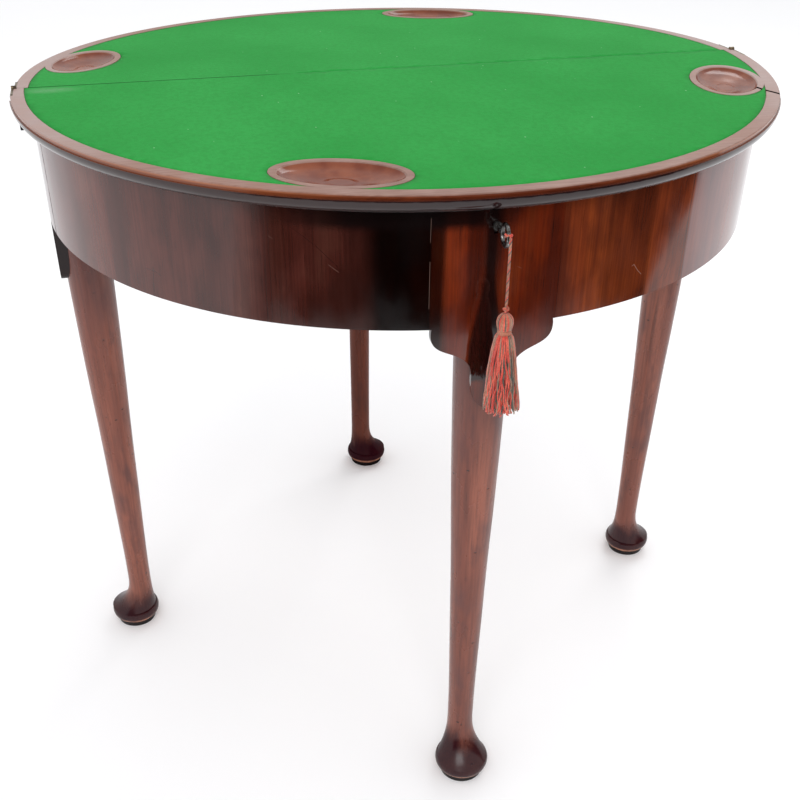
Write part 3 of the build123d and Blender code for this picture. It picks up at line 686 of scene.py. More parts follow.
def tassel_binding():
    bm = bmesh.new()
    drop = binding_high.z - binding_low.z - 2 * BINDING_THREAD
    points = []
    for step in range(BINDING_TURNS * STEPS_A_TURN + 1):
        turn = 2 * math.pi * step / STEPS_A_TURN
        share = step / (BINDING_TURNS * STEPS_A_TURN)
        wobble = BINDING_WOBBLE * noise.noise(Vector((math.cos(turn) * 2, math.sin(turn) * 2, share * 9)))
        height = binding_high.z - BINDING_THREAD - drop * share
        points.append(polar(binding_radius - BINDING_THREAD + wobble, turn, height))
    thread(bm, points, BINDING_THREAD, SALMON)
    core_radius = binding_radius - 1.2 * BINDING_THREAD
    turned_core(bm, [(core_radius, binding_high.z), (core_radius, binding_low.z)], CORAL)
    return piece_from(bm, "tassel_binding_thread", SILKS, "tassel", "tassel_binding")


binding_piece = tassel_binding()

# %% [markdown]
# ### Skirt
# The threads swell out under the binding, spread less and less, and end unevenly at the hem.
# Hair particles are not solid pieces, so each thread is a tube, in four rows from the outside
# in. Threads of one shade lie in locks, and a few stray across the others.

# %% Skirt strands
SKIRT_ROWS = [(74, 1.0), (64, 0.84), (48, 0.62), (30, 0.4)]
SKIRT_THREAD = 0.60 * MM
SKIRT_SWAY = Vector((2.0, 0.0, 0.0)) * MM
SKIRT_STEPS = 22
STRAY_SHARE, STRAY_TURN = 0.12, 0.7
HEM_MORE = 0.5 * MM
SKIRT_UNDER_BINDING = 0.6 * MM
SKIRT_SHORTER = 0.4 * MM


def skirt_girth(share):
    return binding_radius + (hem_radius + HEM_MORE - binding_radius) * share ** 0.56


def strand_shade(chance, start, row):
    tint = noise.noise(Vector((math.cos(start) * 2.2, math.sin(start) * 2.2, row * 3 + 5)))
    pick = 0.22 * tint + chance.uniform(-0.5, 0.5)
    return CORAL if pick > -0.04 else SALMON if pick > -0.18 else TAN if pick > -0.32 else GREEN


def strand(bm, chance, row, index, count, share_out):
    start = 2 * math.pi * (index + chance.uniform(-0.35, 0.35) + row * 0.5) / count
    shade = strand_shade(chance, start, row)
    drift = chance.gauss(0, 0.20)
    drift += chance.choice((-STRAY_TURN, STRAY_TURN)) if chance.random() < STRAY_SHARE else 0
    length = chance.uniform(0.93, 1.0)
    lift = chance.uniform(-0.8, 0.2) * MM
    points = []
    for step in range(SKIRT_STEPS + 1):
        share = step / SKIRT_STEPS * length
        wave = noise.noise(Vector((index * 3.1 + row * 40, share * 4.2, 1)))
        turn = start + drift * share ** 1.5 + 0.42 * wave * share ** 0.5
        girth = (skirt_girth(share) - SKIRT_THREAD) * share_out + lift * share
        girth += 0.9 * MM * noise.noise(Vector((index * 2.3, share * 5, row + 9)))
        height = skirt_high.z + SKIRT_UNDER_BINDING - (skirt_height - SKIRT_SHORTER) * share
        points.append(polar(girth, turn, height) + SKIRT_SWAY * share ** 2)
    thread(bm, points, SKIRT_THREAD, shade, sides=5)


def tassel_skirt():
    chance = random.Random(12)
    bm = bmesh.new()
    for row, (count, share_out) in enumerate(SKIRT_ROWS):
        for index in range(count):
            strand(bm, chance, row, index, count, share_out)
    return piece_from(bm, "tassel_skirt_threads", SILKS, "tassel", "tassel_skirt")


tassel_skirt()

# %% [markdown]
# ## Baize
# Card tables are lined with baize, a felted wool cloth glued into a shallow bed and cut round
# the counter wells. Green paint would have no edge and no thickness, so each leaf has a real
# sheet, which stops a hair short of the rim.

# %% Baize sizes
FOLD_DROOP = math.radians(2.33)
FOLD_LIFT = 0.2 * MM
RIM_WIDTH = 15.5 * MM
WELL_LENGTH, WELL_WIDTH = 128 * MM, 78 * MM
WELL_INSET = 54 * MM
WELL_TURNS = (69.5, 159.5)
CLOTH_SHORT = 0.45 * MM
CLOTH_TOP, CLOTH_UNDER = -0.28 * MM, -1.36 * MM
FOLD_GAP_LEFT, FOLD_GAP_RIGHT = 0.6 * MM, 0.02 * MM
FOLD_CLOSES_FROM, FOLD_CLOSES_TO = -0.15, -0.11
fold_up = Vector((0, math.sin(FOLD_DROOP), math.cos(FOLD_DROOP)))
fixed_middle = Vector((0, fold_y, top_z))
fold_middle = Vector((0, fold_y, top_z + FOLD_LIFT)) - fold_up * FOLD_LIFT


def fold_gap(x):
    # Half the gap between the two cloths. It closes to the right, as the fold line does in the photograph.
    share = min(1, max(0, (x - FOLD_CLOSES_FROM) / (FOLD_CLOSES_TO - FOLD_CLOSES_FROM)))
    return FOLD_GAP_LEFT + (FOLD_GAP_RIGHT - FOLD_GAP_LEFT) * share


print("gap between the cloths mm, left and right", [round(2 * fold_gap(x) / MM, 2) for x in (-0.3, 0.3)])

# %% [markdown]
# ### The cloth's outline
# The cloth is cut along the rim and the fold line, with two ovals for the wells. Points
# between the outlines let it ruffle a little, because glued wool is never quite flat. A
# regular grid would show as stripes in the light, so the points are shaken out of their rows.

# %% Outline, wells and scattered points
ARC_STEPS, EDGE_STEPS, WELL_STEPS = 180, 110, 72
CLOTH_GRID = 9 * MM
CLOTH_CLEAR = 4 * MM


def well_middle(turn):
    return Vector((math.cos(math.radians(turn)), math.sin(math.radians(turn)))) * (top_radius - WELL_INSET)


def well_outline(turn, grow):
    spin = Matrix.Rotation(math.radians(turn), 2)
    points = []
    for step in range(WELL_STEPS):
        angle = 2 * math.pi * step / WELL_STEPS
        spot = Vector(((WELL_WIDTH / 2 + grow) * math.cos(angle), (WELL_LENGTH / 2 + grow) * math.sin(angle)))
        points.append(well_middle(turn) + spin @ spot)
    return points


def in_well(point, grow):
    for turn in WELL_TURNS:
        local = Matrix.Rotation(math.radians(-turn), 2) @ (point - well_middle(turn))
        if (local.x / (WELL_WIDTH / 2 + grow)) ** 2 + (local.y / (WELL_LENGTH / 2 + grow)) ** 2 < 1:
            return True
    return False


def cloth_outline(reach, side):
    start = math.asin(fold_gap(side * reach) / reach)
    finish = math.pi - math.asin(fold_gap(-side * reach) / reach)
    outline = []
    for step in range(ARC_STEPS + 1):
        turn = start + (finish - start) * step / ARC_STEPS
        outline.append(Vector((reach * math.cos(turn), reach * math.sin(turn))))
    left, right = outline[-1], outline[0]
    for step in range(1, EDGE_STEPS):
        spot = left.lerp(right, step / EDGE_STEPS)
        outline.append(Vector((spot.x, fold_gap(side * spot.x))))
    return outline


def scattered(reach):
    chance = random.Random(3)
    points = []
    for row in range(int(reach / CLOTH_GRID) + 1):
        for column in range(-int(reach / CLOTH_GRID) - 1, int(reach / CLOTH_GRID) + 2):
            x = column * CLOTH_GRID + chance.uniform(-2, 2) * MM
            spot = Vector((x, row * CLOTH_GRID + chance.uniform(2, 6) * MM))
            inside = spot.length < reach - CLOTH_CLEAR and spot.y > CLOTH_CLEAR
            if inside and not in_well(spot, CLOTH_CLEAR):
                points.append(spot)
    return points


fixed_reach = top_radius - RIM_WIDTH - CLOTH_SHORT
print("outline points", len(cloth_outline(fixed_reach, -1)), "scattered points", len(scattered(fixed_reach)))

# %% [markdown]
# ### The cloth's finish
# Baize shows crossed fibres, a nap that lies unevenly, and bits of pale lint. One flat green
# would look like paper, so three sizes of cloud are stippled over each other. The cloth is
# worn pale where hands take hold of the leaf, and painted shade darkens the fold line there.

# %% Baize finish
BAIZE_DEEP, BAIZE_PALE = (0.020, 0.258, 0.044), (0.028, 0.296, 0.056)
NAP_SHADOW, FIBRE_LIGHT = (0.020, 0.200, 0.034), (0.06, 0.33, 0.09)
LINT, WORN_BAIZE, CREASE_PAINTED_SHADE = (0.36, 0.55, 0.38), (0.28, 0.42, 0.29), (0.006, 0.075, 0.014)
WORN_PLACE = (-0.378, 2.6 * fold_y - 0.040, 0)


def worn_patch(place, nap):
    spot = vector("MULTIPLY", place, (1, 2.6, 0))
    patch = vector("LENGTH", vector("SUBTRACT", spot, WORN_PLACE))
    return times(rise(patch, 0.042, 0.005), rise(nap, 0.2, 0.7, 0.12, 0.30))


# Painted shade along the left end of the fold line, where the gap between the two cloths lies dark.
def crease_shade_mask(place):
    x, y, _ = split(place)
    from_fold = calc("ABSOLUTE", less(y, fold_y))
    crease_shade = rise(from_fold, 1.7 * MM, 1.0 * MM, high=0.8)
    return times(crease_shade, rise(x, FOLD_CLOSES_TO, FOLD_CLOSES_FROM))


def baize_finish():
    finish, place = new_finish("green_baize")
    fibres = cloud(place, (900, 900, 900), detail=4, twist=0.4)
    nap = cloud(place, (240, 180, 200), detail=4)
    broad = cloud(place, (7, 5, 5), detail=3)
    colour = blend(rise(broad, 0.3, 0.7), BAIZE_DEEP, BAIZE_PALE)
    colour = blend(rise(nap, 0.35, 0.7, high=0.35), colour, NAP_SHADOW)
    colour = blend(rise(fibres, 0.55, 0.75, high=0.35), colour, FIBRE_LIGHT)
    lint_gap, lint_pick = cells(place, (95, 60, 60), (0, 0, 35))
    lint = times(rise(lint_gap, 0.10, 0.04), rise(lint_pick, 0.90, 0.93))
    colour = blend(times(lint, 0.5), colour, LINT)
    colour = blend(worn_patch(place, nap), colour, WORN_BAIZE)
    # The painted shade along the fold line.
    colour = blend(crease_shade_mask(place), colour, CREASE_PAINTED_SHADE)
    felt = relief(fibres, 0.25 * MM, relief(nap, 0.35 * MM))
    return look(finish, Base_Color=colour, Roughness=0.95, Specular_IOR_Level=0.04, Sheen_Weight=0.02,
                Sheen_Roughness=0.6, Normal=felt)


BAIZE = baize_finish()

# %% [markdown]
# ### Laying the cloth
# The points are joined into triangles, those over the wells are left out, and the sheet gets
# its real thickness.

# %% Cloth sheets
RUFFLE = 0.10
CALM_EDGE = 14 * MM


def cloth_triangles(reach, side):
    points = cloth_outline(reach, side)
    edges = [(i, (i + 1) % len(points)) for i in range(len(points))]
    for turn in WELL_TURNS:
        ring = well_outline(turn, CLOTH_SHORT)
        edges += [(len(points) + i, len(points) + (i + 1) % len(ring)) for i in range(len(ring))]
        points += ring
    points += scattered(reach)
    flat, _, faces, _, _, _ = geometry.delaunay_2d_cdt(points, edges, [], 0, 1e-7)
    kept = []
    for face in faces:
        middle = sum((flat[i] for i in face), Vector((0, 0))) / len(face)
        if middle.length < reach and middle.y > 0 and not in_well(middle, CLOTH_SHORT):
            kept.append(face)
    return flat, kept


def cut_edges(kept):
    # The sides of triangles that no second triangle shares.
    used = {}
    for face in kept:
        for a, b in zip(face, face[1:] + face[:1]):
            used[(a, b)] = True
    return [(a, b) for a, b in used if (b, a) not in used]


def baize_sheet(name, radius, origin, along, outward, up, body, node):
    reach = radius - RIM_WIDTH - CLOTH_SHORT
    flat, kept = cloth_triangles(reach, along.x)
    bm = bmesh.new()
    upper, lower = {}, {}
    for face in kept:
        for i in face:
            if i not in upper:
                x, y = flat[i]
                calm = min(1, y / CALM_EDGE)
                ruffle = (RUFFLE * noise.noise(Vector((x * 60, y * 60, 0))) - RUFFLE / 2) * calm * MM
                upper[i] = bm.verts.new(origin + along * x + outward * y + up * (CLOTH_TOP + ruffle))
                lower[i] = bm.verts.new(origin + along * x + outward * y + up * CLOTH_UNDER)
        a, b, c = (flat[i] for i in face)
        bm.faces.new([upper[i] for i in face]).smooth = True
        bm.faces.new([lower[i] for i in reversed(face)])
    for a, b in cut_edges(kept):
        bm.faces.new((upper[b], upper[a], lower[a], lower[b]))
    bmesh.ops.recalc_face_normals(bm, faces=bm.faces)
    piece = piece_from(bm, name, [BAIZE], body, node)


baize_sheet("fixed_baize_cloth", top_radius, fixed_middle, Vector((-1, 0, 0)), Vector((0, -1, 0)),
            Vector((0, 0, 1)), "frame", "fixed_baize")
fold_outward = Vector((0, math.cos(FOLD_DROOP), -math.sin(FOLD_DROOP)))
baize_sheet("fold_baize_cloth", fold_radius, fold_middle, Vector((1, 0, 0)), fold_outward,
            fold_up, "fold_top", "fold_baize")

# %% [markdown]
# ## Mahogany
# Old mahogany is dense and red brown, with long fibres, darker figure and fine pores, under
# two hundred years of wax and shellac. One glossy brown would look like plastic, so the wood
# is dull and rough, and a clear coat with slow waves of its own lies over it. The third
# direction of each finish's place runs along the grain.

# %% Grain and polish
GRAIN_DEPTH, FIBRE_IN_COAT = 0.10 * MM, 0.018 * MM


def grain_of(along):
    fibre = cloud(along, (420, 420, 9), detail=5)
    figure = cloud(along, (34, 34, 1.8), detail=4, twist=0.5)
    pores = rise(cloud(along, (1300, 1300, 38), detail=2), 0.62, 0.74)
    return fibre, figure, pores


def polished(finish, colour, fibre, pores, shine, waviness, wave_depth=1.0 * MM, coat=1.0, coat_ior=1.5):
    grain = relief(less(fibre, pores), GRAIN_DEPTH)
    wave = relief(waviness, wave_depth)
    return look(finish, Base_Color=colour, Roughness=0.6, Specular_IOR_Level=0.0, Normal=grain,
                Coat_Weight=coat, Coat_IOR=coat_ior, Coat_Roughness=shine,
                Coat_Normal=relief(fibre, FIBRE_IN_COAT, wave))


def around(place):
    # The parts of a place, and where it lies in the plane of the top, from the middle of the fold line.
    x, y, z = split(place)
    return x, y, z, join(x, less(y, fold_y), 0.0)


print("grain depth mm", GRAIN_DEPTH / MM)

# %% [markdown]
# ### Frieze veneer
# The frieze is veneered with upright grain, in leaves cut one after another, so the tone
# jumps where two leaves meet. Cut pieces would bring seams that the real curve hasn't, so the
# leaves are told apart by their angle. Each row is a seam: degrees from the front, tone
# before, tone after, width in degrees.

# %% Veneer
VENEER_TONES = [(-78.0, 0.9, 1.15, 0.2), (-53.8, 1.15, 0.9, 0.8), (-42.0, 0.9, 0.68, 9.0),
                (-31.7, 0.68, 0.62, 0.12), (-24.3, 0.62, 0.45, 0.7), (-16.4, 0.45, 0.04, 3.2),
                (-8.63, 0.04, 0.15, 0.05), (-6.8, 0.15, 1.1, 1.3), (-4.0, 1.1, 0.75, 1.0),
                (-1.1, 0.75, 0.45, 0.7), (0.4, 0.45, 0.8, 0.8), (8.63, 0.8, 1.15, 0.05),
                (15.5, 1.15, 0.85, 0.6), (23.6, 0.85, 1.2, 0.15), (31.6, 1.2, 1.3, 0.1)]
LEFT_WOOD, CENTRE_WOOD, RIGHT_WOOD = (0.100, 0.024, 0.017), (0.135, 0.016, 0.0035), (0.132, 0.024, 0.007)
LEFT_PALE, RIGHT_PALE = (0.190, 0.070, 0.048), (0.225, 0.047, 0.010)
STREAK_DARK, CLOUD_DARK, PORE_DARK = (0.022, 0.003, 0.002), (0.030, 0.006, 0.004), (0.012, 0.003, 0.002)


def veneer(degrees, flat, grain):
    fibre, figure, pores = grain
    wood = blend(rise(degrees, -17, -8), LEFT_WOOD, CENTRE_WOOD)
    wood = blend(rise(degrees, 8.4, 8.8), wood, RIGHT_WOOD)
    # Left of the centre panel the figure is quiet, and right of it the figure is bold.
    boldness = rise(degrees, -30, -6, 0.30, 0.55)
    pale = blend(rise(degrees, -24, -8), LEFT_PALE, RIGHT_PALE)
    wood = blend(times(rise(figure, 0.52, 0.74), boldness), wood, pale)
    wood = blend(times(rise(figure, 0.48, 0.28), boldness), wood, STREAK_DARK)
    cloudy = cloud(flat, (28, 12, 1), detail=3)
    wood = blend(rise(cloudy, 0.58, 0.38, high=0.52), wood, CLOUD_DARK)
    wood = blend(rise(cloudy, 0.55, 0.72, high=0.28), wood, pale)
    wood = blend(rise(fibre, 0.36, 0.64, 0.32, 0.0), wood, CLOUD_DARK)
    wood = blend(times(pores, 0.6), wood, PORE_DARK)
    tone = None
    for where, before, after, width in VENEER_TONES:
        step = rise(degrees, where - width / 2, where + width / 2, before, after)
        tone = step if tone is None else plus(tone, less(step, before))
    return blend(1.0, wood, join(tone, tone, tone), kind="MULTIPLY")


print("veneer seams", len(VENEER_TONES))

# %% [markdown]
# ### Painted sheen and shade on the frieze
# Both ends get a painted grey sheen, where the polish mirrors the white room. The lappets are
# painted black for the shade they stand in. Painted shadow darkens the wood under the top above
# the dark veneer, and a painted reflection of the tassel darkens the apron behind it. Patchy
# clouds would put such marks anywhere, so each is a mask by angle and height.

# %% Painted sheen, shadow and reflection
# A painted grey sheen for both ends of the frieze, and black painted shade for the lappets.
FRIEZE_PAINTED_SHEEN, LAPPET_SHADE_BLACK = (0.26, 0.19, 0.20), (0.006, 0.004, 0.004)
SEAM_AND_SHADOW_BLACK, CRACK_AND_REFLECTION_BLACK = (0.004, 0.002, 0.002), (0.005, 0.002, 0.002)
# The middle of the painted reflection of the tassel, along the curve.
TASSEL_REFLECTION_MIDDLE = 7.0 * MM
# Where the painted shadow under the top begins and where it is full, below the frieze's top.
TOP_SHADOW_FROM, TOP_SHADOW_FULL = 24 * MM, 13 * MM


def lappet_mask(degrees, z):
    below_panels = rise(z, frieze_bottom + 1 * MM, frieze_bottom - 1 * MM)
    return times(below_panels, rise(calc("ABSOLUTE", degrees), 70, 75, high=0.92))


# A painted dark reflection of the hanging tassel on the apron: narrow under the key, wider down to the tassel's
# hem.
def tassel_reflection_mask(arc, z):
    half = rise(z, 0.665, 0.575, 3.0 * MM, 15 * MM)
    gap = calc("ABSOLUTE", plus(arc, TASSEL_REFLECTION_MIDDLE))
    streak = rise(gap, plus(half, 4 * MM), less(half, 1 * MM))
    return times(streak, rise(z, 0.549, 0.555, high=0.88))


def painted_sheen_and_shade(wood, degrees, arc, z, lappets):
    # Painted grey sheen at both ends of the frieze, where the polish mirrors the white room.
    frieze_end_sheen = times(rise(degrees, 31.5, 32.2, high=0.42), rise(degrees, 74, 60))
    frieze_end_sheen = plus(frieze_end_sheen, rise(degrees, -62, -78, high=0.22))
    wood = blend(frieze_end_sheen, wood, FRIEZE_PAINTED_SHEEN)
    # The lappets are painted black for the shade they stand in.
    wood = blend(lappets, wood, LAPPET_SHADE_BLACK)
    # Painted shadow under the top's edge, above the dark veneer.
    under_top_shadow = times(rise(degrees, -33, -18, high=0.95), rise(degrees, 6, -4))
    under_top_shadow = times(under_top_shadow, rise(z, frieze_top - TOP_SHADOW_FROM, frieze_top - TOP_SHADOW_FULL))
    wood = blend(under_top_shadow, wood, SEAM_AND_SHADOW_BLACK)
    # The painted reflection of the tassel goes on last.
    return blend(tassel_reflection_mask(arc, z), wood, CRACK_AND_REFLECTION_BLACK)


# How far down the painted shadow under the top reaches.
print("grime reaches down mm", round(TOP_SHADOW_FROM / MM))

# %% [markdown]
# ### Cracks and scratches
# A few marks are as good as a signature, such as the long crack near the right end. Chance
# would never put them in the right place, so each is drawn as a line: points in millimetres
# along the curve and up, half its width in millimetres, and its strength.

# %% Marks on the frieze
FRIEZE_LINES = [([(-332.6, 637.3), (-333.5, 628.0), (-335.6, 611.3)], 0.35, 0.85),
                ([(-342.4, 633.8), (-329.4, 633.0), (-323.0, 631.0)], 0.3, 0.7),
                ([(218.2, 716.0), (218.9, 690.0), (218.6, 660.0), (221.0, 640.0), (223.4, 607.0)], 0.4, 0.9),
                ([(186.4, 618.7), (190.0, 624.5), (192.0, 630.0)], 0.35, 0.8),
                ([(195.0, 616.0), (199.5, 629.0)], 0.35, 0.8),
                ([(-2.6, 720.0), (-3.2, 670.0), (-2.8, 622.0)], 0.5, 0.7),
                ([(-181.0, 699.0), (-160.0, 684.0), (-135.1, 660.0)], 0.25, 0.55)]
FRIEZE_PALE_MARKS_AND_GLINTS = [([(143.2, 641.6), (145.7, 642.6), (151.0, 636.0), (157.0, 630.4)], 0.35, 0.55),
                     # These two lines along the veneer joint are a painted highlight on the joint's edge.
                     ([(-60.9, 711.0), (-61.2, 690.0)], 0.25, 0.3),
                     ([(-61.1, 672.0), (-61.0, 628.0)], 0.25, 0.35),
                     ([(-150.0, 668.0), (-141.0, 661.5)], 0.2, 0.35)]
# Pale marks, and the painted highlight along the joint.
PALE_MARK_AND_GLINT, SCRATCH = (0.35, 0.22, 0.18), (0.22, 0.14, 0.12)


def drawn(wood, flat, lines, colour):
    for points, width, strength in lines:
        gap = near_line(flat, [(a * MM, b * MM, 0) for a, b in points])
        mark = rise(gap, width * MM, width * 0.4 * MM, high=strength)
        wood = blend(mark, wood, colour)
    return wood


def scratched(wood, flat):
    wood = drawn(wood, flat, FRIEZE_LINES, CRACK_AND_REFLECTION_BLACK)
    wood = drawn(wood, flat, FRIEZE_PALE_MARKS_AND_GLINTS, PALE_MARK_AND_GLINT)
    gap, pick = cells(stretched(flat, (1, 1, 1), (0, 0, 28)), (24, 240, 1))
    scratch = times(rise(gap, 0.10, 0.02), rise(pick, 0.93, 0.96))
    return blend(times(scratch, 0.35), wood, SCRATCH)


print("drawn marks", len(FRIEZE_LINES) + len(FRIEZE_PALE_MARKS_AND_GLINTS))

# %% [markdown]
# ### The whole frieze
# The layers go on in this order: veneer, the stiles' open joints, painted sheen and shade,
# cracks and scratches, and last the coat. An even coat would mirror the room too perfectly,
# so it is smeared by cloths, broken at the joints and thin on the lappets.

# %% Frieze finish
STILE_SEAM = -78.0


def frieze_finish():
    finish, place = new_finish("frieze_mahogany")
    x, y, z, level = around(place)
    turn = calc("ARCTAN2", x, less(fold_y, y))
    degrees = calc("DEGREES", turn)
    arc = times(turn, frieze_radius)
    flat = join(arc, z, 0.0)
    grain = grain_of(join(arc, vector("LENGTH", level), z))
    wood = veneer(degrees, flat, grain)
    nearness = calc("ABSOLUTE", less(degrees, STILE_SEAM))
    broken = rise(cloud(flat, (20, 60, 1), detail=2), 0.35, 0.55, 0.45, 1.0)
    wood = blend(times(rise(nearness, 0.26, 0.16), broken), wood, SEAM_AND_SHADOW_BLACK)
    lappets = lappet_mask(degrees, z)
    # Painted sheen at the ends, painted shade on the lappets and under the top, painted reflection of the tassel.
    wood = painted_sheen_and_shade(wood, degrees, arc, z, lappets)
    wood = scratched(wood, flat)
    shine = rise(cloud(flat, (22, 14, 1), detail=4), 0.3, 0.75, 0.05, 0.16)
    waviness = cloud(flat, (11, 5, 1), detail=1)
    seam = times(rise(nearness, 0.30, 0.16, high=0.9), broken)
    coat = less(1.0, calc("MAXIMUM", seam, times(lappets, 0.6)))
    fibre, _, pores = grain
    return polished(finish, wood, fibre, pores, shine, waviness, coat=coat, coat_ior=1.55)


FINISHES = {"frieze_wood": frieze_finish()}

# %% [markdown]
# ### Legs
# The legs are turned from the solid, with upright grain, streaked dark and dented by shoes
# and chairs. Even noise would look like dirt, so there are three kinds of mark: streaks along
# the grain, broad grime, and single nicks.

# %% Leg wood
LEG_DEEP, LEG_PALE = (0.165, 0.043, 0.025), (0.265, 0.080, 0.047)
LEG_STREAK, LEG_FIBRE, LEG_PORE = (0.050, 0.013, 0.009), (0.075, 0.020, 0.013), (0.035, 0.009, 0.007)
LEG_GRIME, LEG_SMUDGE, NICK = (0.080, 0.030, 0.030), (0.060, 0.018, 0.018), (0.014, 0.005, 0.004)
NICK_CELLS, LINE_CELLS = (75, 75, 130), (60, 60, 34)


def leg_wood(place, grain, grime, smudge):
    fibre, figure, pores = grain
    wood = blend(rise(figure, 0.35, 0.70), LEG_DEEP, LEG_PALE)
    streak = cloud(place, (120, 120, 8), detail=4, twist=0.3)
    wood = blend(rise(streak, 0.58, 0.74, high=0.45), wood, LEG_STREAK)
    wood = blend(rise(fibre, 0.60, 0.34, high=0.4), wood, LEG_FIBRE)
    wood = blend(times(pores, 0.5), wood, LEG_PORE)
    wood = blend(rise(grime, 0.52, 0.74, high=0.6), wood, LEG_GRIME)
    return blend(rise(smudge, 0.56, 0.70, high=0.35), wood, LEG_SMUDGE)


def dents(place):
    nick_gap, nick_pick = cells(place, NICK_CELLS, (14, 8, 0))
    nicks = times(rise(nick_gap, 0.17, 0.09), rise(nick_pick, 0.84, 0.88))
    line_gap, line_pick = cells(place, LINE_CELLS, (4, 6, 0))
    lines = times(rise(line_gap, 0.075, 0.03), rise(line_pick, 0.80, 0.84))
    return calc("MAXIMUM", nicks, lines)


print("nick cells in a metre", NICK_CELLS, "line cells", LINE_CELLS)

# %% [markdown]
# ### Feet
# The pads are dark from floor wax, their lower edge is rubbed to bare wood, and the disc
# below is nearly black. A straight line between shaft and pad would look like a sock, so the
# height is shaken by the grime before it is a mask. The tops of the legs are painted darker for
# the shade under the apron, and the gate leg is painted darker and browner for its shade.

# %% Leg finish
FOOT_LINE, FOOT_START = 36 * MM, 66 * MM
FOOT_SHAKE = 9 * MM
RING_FROM, RING_FULL = 15 * MM, 12 * MM
DISC_FROM, DISC_FULL = 7.0 * MM, 6.2 * MM
LEG_TOP_SHADE, BACK_SHADE = (0.072, 0.028, 0.028), (0.55, 0.38, 0.24)
PAD_DARK, RUBBED, DISC_BLACK = (0.016, 0.002, 0.006), (0.330, 0.145, 0.090), (0.008, 0.005, 0.005)


def leg_finish():
    finish, place = new_finish("leg_mahogany")
    _, y, z = split(place)
    fibre, _, pores = grain = grain_of(place)
    grime = cloud(place, (30, 30, 14), detail=4)
    smudge = cloud(place, (75, 75, 26), detail=3)
    marks = dents(place)
    wood = blend(times(marks, 0.85), leg_wood(place, grain, grime, smudge), NICK)
    # Painted shade on the tops of the legs, under the apron.
    wood = blend(rise(z, 0.42, 0.58, high=0.6), wood, LEG_TOP_SHADE)
    # Painted shade on the gate leg at the back: darker and browner.
    at_back = rise(y, 0.15, 0.25)
    wood = blend(at_back, wood, BACK_SHADE, kind="MULTIPLY")
    low = plus(z, rise(grime, 0.3, 0.7, -FOOT_SHAKE, FOOT_SHAKE))
    wood = blend(rise(low, FOOT_START, FOOT_LINE, high=0.90), wood, PAD_DARK)
    worn_ring = times(rise(z, RING_FROM, RING_FULL), rise(smudge, 0.35, 0.6, 0.45, 1.0))
    wood = blend(worn_ring, wood, RUBBED)
    wood = blend(rise(z, DISC_FROM, DISC_FULL), wood, DISC_BLACK)
    shine = rise(low, 60 * MM, 25 * MM, 0.26, 0.14)
    shine = plus(shine, rise(grime, 0.35, 0.75, high=0.10))
    waves = cloud(place, (26, 26, 12), detail=2)
    waviness = less(waves, times(marks, 0.5))
    coat = less(rise(low, FOOT_START, FOOT_LINE, 1.0, 0.6), times(at_back, 0.5))
    return polished(finish, wood, fibre, pores, shine, waviness, coat=coat)


FINISHES["leg_wood"] = leg_finish()

# %% [markdown]
# ### The edge of the top
# Each leaf is one broad board with its grain from side to side. Its square upper edge is dark
# red in front and painted orange at the sides for the highlight it catches there. The round
# below it faces down and is painted near black for the shade it lies in. It is one board, so
# the colours change with the depth below the face.

# %% Leaf wood and edge
LEAF_DEEP, LEAF_PALE = (0.105, 0.024, 0.012), (0.205, 0.056, 0.024)
LEAF_FIBRE, LEAF_PORE = (0.050, 0.012, 0.008), (0.030, 0.008, 0.006)
EDGE_SIDE_HIGHLIGHT, EDGE_SHADE, ROUND_SHADE_BLACK = (0.340, 0.125, 0.060), (0.55, 0.38, 0.26), (0.010, 0.005, 0.006)
EDGE_BAND = (0.37, 0.38)


def leaf_wood(fibre, figure, pores):
    wood = blend(rise(figure, 0.35, 0.7), LEAF_DEEP, LEAF_PALE)
    wood = blend(rise(fibre, 0.62, 0.36, high=0.4), wood, LEAF_FIBRE)
    return blend(times(pores, 0.5), wood, LEAF_PORE)


def leaf_edge(wood, x, below, out):
    side = rise(calc("ABSOLUTE", x), 0.06, 0.26)
    # Painted highlight: the upright edge is painted orange towards both sides.
    wood = blend(rise(side, 0, 1, 0.0, 0.8), wood, EDGE_SIDE_HIGHLIGHT)
    upright = times(rise(below, -1.5 * MM, -3.2 * MM), rise(out, *EDGE_BAND))
    wood = blend(upright, wood, EDGE_SHADE, kind="MULTIPLY")
    # Painted shade: the round under the edge faces down and is painted near black.
    round_shade = times(rise(below, -4.7 * MM, -5.1 * MM), rise(out, *EDGE_BAND))
    return blend(times(round_shade, 0.93), wood, ROUND_SHADE_BLACK)


print("edge band mm from the middle", [round(edge / MM) for edge in EDGE_BAND])

# %% [markdown]
# ### Rim, wells and crack
# Hands have worn the polish off the rim, and its pale pink colour is partly painted sheen,
# greyer still towards both ends. Wax has pooled in the wells, so they shine. One crack follows
# the right-hand well and runs out through the rim. Its place is known, so it is drawn from the
# middle of the fold line, in millimetres.

# %% Top finish
CRACK = [(312.0, -166.0), (321.0, -170.0), (330.8, -172.0), (341.0, -173.5), (350.0, -171.8),
         (359.2, -163.8), (362.7, -176.8), (368.1, -188.1), (373.5, -201.0)]
CRACK_FROM, CRACK_FULL = 2.6 * MM, 1.8 * MM
BED_FROM, BED_FULL = 404.2 * MM, 403.6 * MM
RIM_DEEP, RIM_PALE, RIM_FIBRE = (0.250, 0.140, 0.110), (0.310, 0.190, 0.158), (0.140, 0.066, 0.048)
RIM_END_SHEEN = (0.42, 0.34, 0.33)
BOWL_DEEP, BOWL_PALE = (0.135, 0.026, 0.010), (0.220, 0.060, 0.026)
CRACK_DARK = (0.006, 0.003, 0.003)
SHINE_EDGE, SHINE_RIM, SHINE_BOWL = (0.10, 0.10, 0.10), (0.40, 0.40, 0.40), (0.17, 0.17, 0.17)


